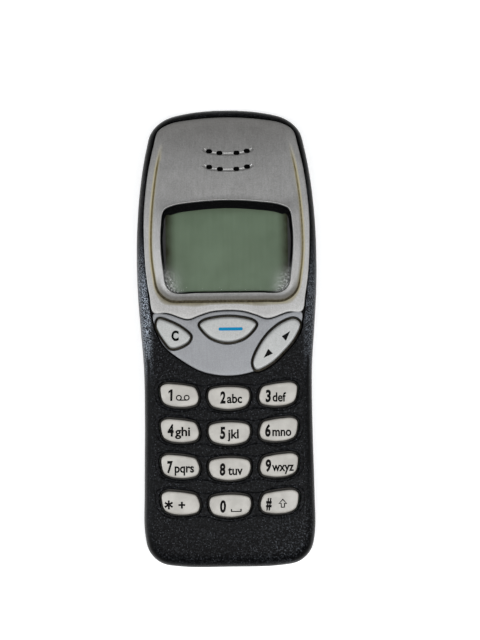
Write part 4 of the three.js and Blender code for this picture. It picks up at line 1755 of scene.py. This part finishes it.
    def build(self) -> None:
        """Makes all the keys."""
        for key, legend in zip(LAYOUT.numbers(), self.legends):
            self.cap(key, Look.KEY, "key_plastic")
            self.printing(key, legend)
        for key in LAYOUT.functions():
            self.cap(key, Look.SILVER_KEY, "key_plastic")
        bar = Outline.oblong(6.5, 0.86, 0.4, 6).moved(0.7, 2.1)
        finished(self.laid(prism(bar, level(-1), level(1))), "navi_key_print", Look.BLUE_INK, "navi_key",
                 sharp=20)
        letter = self.lettering("C", -15.2, -0.75, 1.95, 2.6, 0.05)
        finished(self.laid(letter), "clear_key_print", Look.BLACK_INK, "clear_key", sharp=20)
        heads = (((16.7, 1.4), (14.4, 0.0), (15.5, -1.25)), ((9.45, -5.75), (10.7, -3.35), (11.95, -4.6)))
        arrows = [prism(Outline([Vector(p) for p in head]), level(-1), level(1)) for head in heads]
        finished(self.laid(joined(arrows)), "scroll_key_print", Look.BLACK_INK, "scroll_key",
                 sharp=20)


@dataclass
class BackCase:
    """The charcoal back cover, its release button and the grips beside it."""

    edge: tuple[tuple[float, float, float], ...] = (
        (9.5, 0.0, 1.0), (7.6, 0.1, 1.0), (6.2, 0.3, 1.0), (5.0, 0.62, 1.0), (3.9, 1.12, 1.0), (3.0, 1.75, 1.0),
        (2.2, 2.55, 1.0), (1.5, 3.6, 0.95), (0.95, 4.9, 0.8), (0.5, 6.4, 0.5), (0.2, 8.2, 0.2), (0.05, 9.8, 0.05))
    wall: float = 1.6
    spine: float = 36
    button_half: tuple[float, float] = (7.5, 4.0)
    grips: int = 5
    grip_step: float = 1.9

    def build(self) -> None:
        """Makes the cover and its button."""
        body = SHAPES.body()
        seam = level(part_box("back_cover")[1].z / MM)
        outside = [(inset, CASE.above_back(rise, share)) for inset, rise, share in self.edge]
        inside = [(self.wall, seam), (self.wall + 0.3, CASE.above_back(8.6, 0.3)),
                  (self.wall + 1.2, CASE.above_back(4.9)),
                  (self.wall + 2.8, CASE.above_back(3.0)), (self.wall + 5, CASE.above_back(1.8)),
                  (self.wall + 8, CASE.above_back(1.5))]
        rim = [(0.0, lambda x, y: seam(x, y) - 0.14), (0.12, seam)]
        cover = pillow(body, [*outside, *rim, *inside], self.spine)
        low, high = (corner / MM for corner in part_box("system_connector"))
        socket = brick((low.x - 0.3, low.y - 3, low.z - 0.3), (high.x + 0.3, high.y - 2.6, CASE.seam + 3), 0.25)
        low, high = (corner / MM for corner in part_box("release_button"))
        middle = (low.y + high.y) / 2
        button = Outline.oblong(2 * self.button_half[0], 2 * self.button_half[1], self.button_half[1] - 0.1, 12)
        button = button.moved(0, middle)
        well = pillow(button, [(-0.6, CASE.above_back(-2)), (-0.6, CASE.above_back(-0.02)),
                               (-0.38, CASE.above_back(0.25)), (-0.33, CASE.above_back(5))])
        cover = carved(cover, [socket, well, *self.grip_cutters(middle)])
        finished(cover, "charcoal_back_cover", Look.CHARCOAL, "back_cover", ["back_cover"],
                 marks={"depth_shade": lambda x, y, z: 0.0})
        rings = [(1.6, CASE.above_back(0.0)), (0.7, CASE.above_back(-0.14)), (0.2, CASE.above_back(0.02)),
                 (0, CASE.above_back(0.4)), (0, CASE.above_back(2.0)), (-0.7, CASE.above_back(2.0)),
                 (-0.7, CASE.above_back(2.5))]
        finished(pillow(button, rings), "release_button_cap", Look.CHARCOAL, "release_button",
                 ["release_button"], marks={"depth_shade": lambda x, y, z: 0.0})

    def grip_cutters(self, middle: float) -> list[bmesh.types.BMesh]:
        """Short grooves across the back on both sides of the button.

        Args:
            middle: The button's middle.

        Returns:
            The cutters.
        """
        made = []
        for side in (-1, 1):
            for index in range(self.grips):
                y = middle + (index - (self.grips - 1) / 2) * self.grip_step
                path = [Vector((side * x, y, CASE.back(y) - 0.28)) for x in (10.4, 11.2, 12.6, 13.4)]
                made.append(swept(path, 0.55, 4))
        return made


@dataclass
class EndFittings:
    """The power button in the upper end, and the sockets in the lower."""

    def build(self) -> None:
        """Makes the button, the connector block, the charger jack and the contacts."""
        self.power_button()
        low, high = (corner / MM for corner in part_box("system_connector"))
        block = brick(low, high, 0.3)
        jack_low, jack_high = (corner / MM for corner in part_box("charger_jack"))
        middle = (jack_low + jack_high) / 2
        radius = (jack_high.x - jack_low.x) / 2
        slots = [brick((x - 2.75, low.y - 1, 9.8), (x + 2.75, low.y + 3, 12.2), 0.2) for x in (-8.25, 8.25)]
        mouth = self.lying(middle, low.y - 1, low.y + 5.6, radius + 0.2)
        finished(carved(block, [mouth, *slots]), "connector_block", Look.RUBBER, "chassis",
                 ["system_connector"])
        barrel = carved(self.lying(middle, jack_low.y, jack_high.y, radius - 0.05),
                        [self.lying(middle, jack_low.y - 1, jack_high.y - 1.5, radius - 0.55)])
        pin = self.lying(middle, jack_low.y + 0.8, jack_high.y - 1, 0.5)
        finished(joined([barrel, pin]), "charger_jack_barrel", Look.STEEL, "chassis", ["charger_jack"])
        for number in (1, 2):
            node = f"connector_contacts_{number}"
            self.blades(node)

    @staticmethod
    def blades(node: str) -> None:
        """A row of spring contacts in one slot.

        Args:
            node: The contact block's node.
        """
        low, high = (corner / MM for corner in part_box(node))
        step = (high.x - low.x) / 4
        blades = [brick((low.x + step * (i + 0.2), low.y, low.z),
                        (low.x + step * (i + 0.8), high.y, high.z), 0.12)
                  for i in range(4)]
        finished(joined(blades), f"{node}_blades", Look.GOLD, "chassis", [node])

    @staticmethod
    def lying(middle: Vector, start: float, end: float, radius: float) -> bmesh.types.BMesh:
        """A round bar along Y with eased ends.

        Args:
            middle: The bar's middle across and up.
            start: Where it starts along Y.
            end: Where it ends along Y.
            radius: Its radius.

        Returns:
            The bar.
        """
        bm = post((0, 0), start, end, radius, 48)
        turn = Matrix.Translation((middle.x, 0, middle.z)) @ Matrix.Rotation(-math.pi / 2, 4, "X")
        bmesh.ops.transform(bm, matrix=turn, verts=bm.verts[:])
        return bm

    @staticmethod
    def power_button() -> None:
        """The rubbery power button, domed, in its surround."""
        low, high = (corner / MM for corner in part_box("power_button"))
        centre = (low + high) / 2
        outline = Outline.oblong(high.x - low.x - 2, high.z - low.z, (high.z - low.z) / 2 - 0.1, 10)
        rings = [(0, level(-3.4)), (0, level(-0.5)), (0.08, level(-0.26)), (0.3, level(-0.1)),
                 (0.7, level(-0.03)), (1.1, level(0.0))]
        bm = pillow(outline, rings, fill=(0.6, 0.0))
        turn = Matrix.Translation((centre.x, high.y, centre.z)) @ Matrix.Rotation(-math.pi / 2, 4, "X")
        bmesh.ops.transform(bm, matrix=turn, verts=bm.verts[:])
        finished(bm, "power_button_cap", Look.RUBBER, "power_button", ["power_button"])


@dataclass
class Inside:
    """The finishes of the CAD parts that are seen only when the covers are off."""

    looks: dict[str, Look] = field(default_factory=lambda: {
        "charcoal_shell": Look.CHARCOAL, "black_rubber": Look.RUBBER, "circuit_board": Look.BOARD,
        "steel": Look.STEEL, "white_plastic": Look.WHITE, "frame_plastic": Look.FRAME, "gold_plate": Look.GOLD,
        "battery_case": Look.BATTERY, "card_plastic": Look.CARD, "display_glass": Look.DISPLAY,
        "silver_paint": Look.SILVER, "silver_blue_paint": Look.SILVER_BLUE, "key_plastic": Look.KEY,
        "clear_window": Look.WINDOW})
    screws: Look = Look.DARK_STEEL

    def build(self) -> None:
        """Gives every CAD node its procedural finish."""
        for name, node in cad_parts.items():
            for slot in node.material_slots:
                look = self.looks[slot.material.name.split(".")[0]]
                slot.material = (self.screws if name.startswith("screw_") else look).value.material()
            LOG.info("%s: finished", name)


@dataclass
class Studio:
    """The floor, the lights and the camera."""

    distance: float = 0.625257
    turn: tuple[float, float, float] = (-2.2836, 1.1275, 0.7397)
    pivot: tuple[float, float, float] = (0, 0, 0.011)
    shift: tuple[float, float] = (-0.0034017, -0.0049626)
    lens: float = 85.90
    sensor: float = 24.0

    def camera(self) -> None:
        """A long lens looking straight down at the phone."""
        data = bpy.data.cameras.new("camera")
        data.sensor_fit = "VERTICAL"
        data.sensor_height = self.sensor
        data.lens = self.lens
        data.clip_start = 0.01
        camera = bpy.data.objects.new("camera", data)
        bpy.context.scene.collection.objects.link(camera)
        turned = Matrix.Identity(4)
        for angle, axis in zip(self.turn, "XYZ"):
            turned = turned @ Matrix.Rotation(math.radians(angle), 4, axis)
        looking = (Matrix.Translation((*self.shift, -self.distance)) @ turned
                   @ Matrix.Translation(-Vector(self.pivot)))
        camera.matrix_world = looking.inverted()
        bpy.context.scene.camera = camera

    def floor(self) -> None:
        """A wide pale floor under the phone."""
        bm = bmesh.new()
        bmesh.ops.create_grid(bm, x_segments=2, y_segments=2, size=3)
        mesh = bpy.data.meshes.new("floor")
        bm.to_mesh(mesh)
        bm.free()
        mesh.materials.append(Look.FLOOR.value.material())
        floor = bpy.data.objects.new("floor", mesh)
        bpy.context.scene.collection.objects.link(floor)

    @staticmethod
    def lamp(name: str, place: tuple[float, float, float], size: tuple[float, float], power: float,
             colour: Colour = (1, 1, 1)) -> None:
        """A soft rectangular lamp that faces the phone.

        Args:
            name: The lamp's name.
            place: Where it hangs, in metres.
            size: Its length and width, in metres.
            power: Its power in watts.
            colour: The colour of its light.
        """
        data = bpy.data.lights.new(name, "AREA")
        data.shape = "RECTANGLE"
        data.color = colour
        data.size, data.size_y = size
        data.energy = power
        lamp = bpy.data.objects.new(name, data)
        bpy.context.scene.collection.objects.link(lamp)
        facing = (-Vector(place)).to_track_quat("-Z", "Y")
        lamp.matrix_world = Matrix.Translation(place) @ facing.to_matrix().to_4x4()

    def build(self) -> None:
        """Sets up everything round the phone."""
        self.camera()
        self.floor()
        self.lamp("overhead", (0.0, -0.12, 1.0), (2.0, 0.28), 12)
        self.lamp("low_right", (0.40, -0.20, 0.90), (0.34, 0.26), 1.0, (0.84, 0.92, 1.0))
        self.lamp("left", (-0.80, -0.07, 0.34), (0.14, 0.75), 3.4, (0.92, 0.96, 1.0))
        self.lamp("right", (0.80, -0.07, 0.40), (0.14, 0.75), 1.2)
        world = bpy.data.worlds.new("studio")
        world.use_nodes = True
        background = world.node_tree.nodes["Background"]
        background.inputs["Color"].default_value = (1, 1, 1, 1)
        background.inputs["Strength"].default_value = 0.15
        bpy.context.scene.world = world
        bpy.context.scene.view_settings.view_transform = "Standard"


def main() -> None:
    """Builds the phone and the studio."""
    logging.basicConfig(level=logging.INFO, format="%(message)s")
    for maker in (Studio(), Inside(), FrontCase(), DisplayTrim(), FunctionPanel(), Keypad(), BackCase(),
                  EndFittings()):
        LOG.info("-- %s", type(maker).__name__)
        maker.build()


if __name__ == "__main__":
    main()
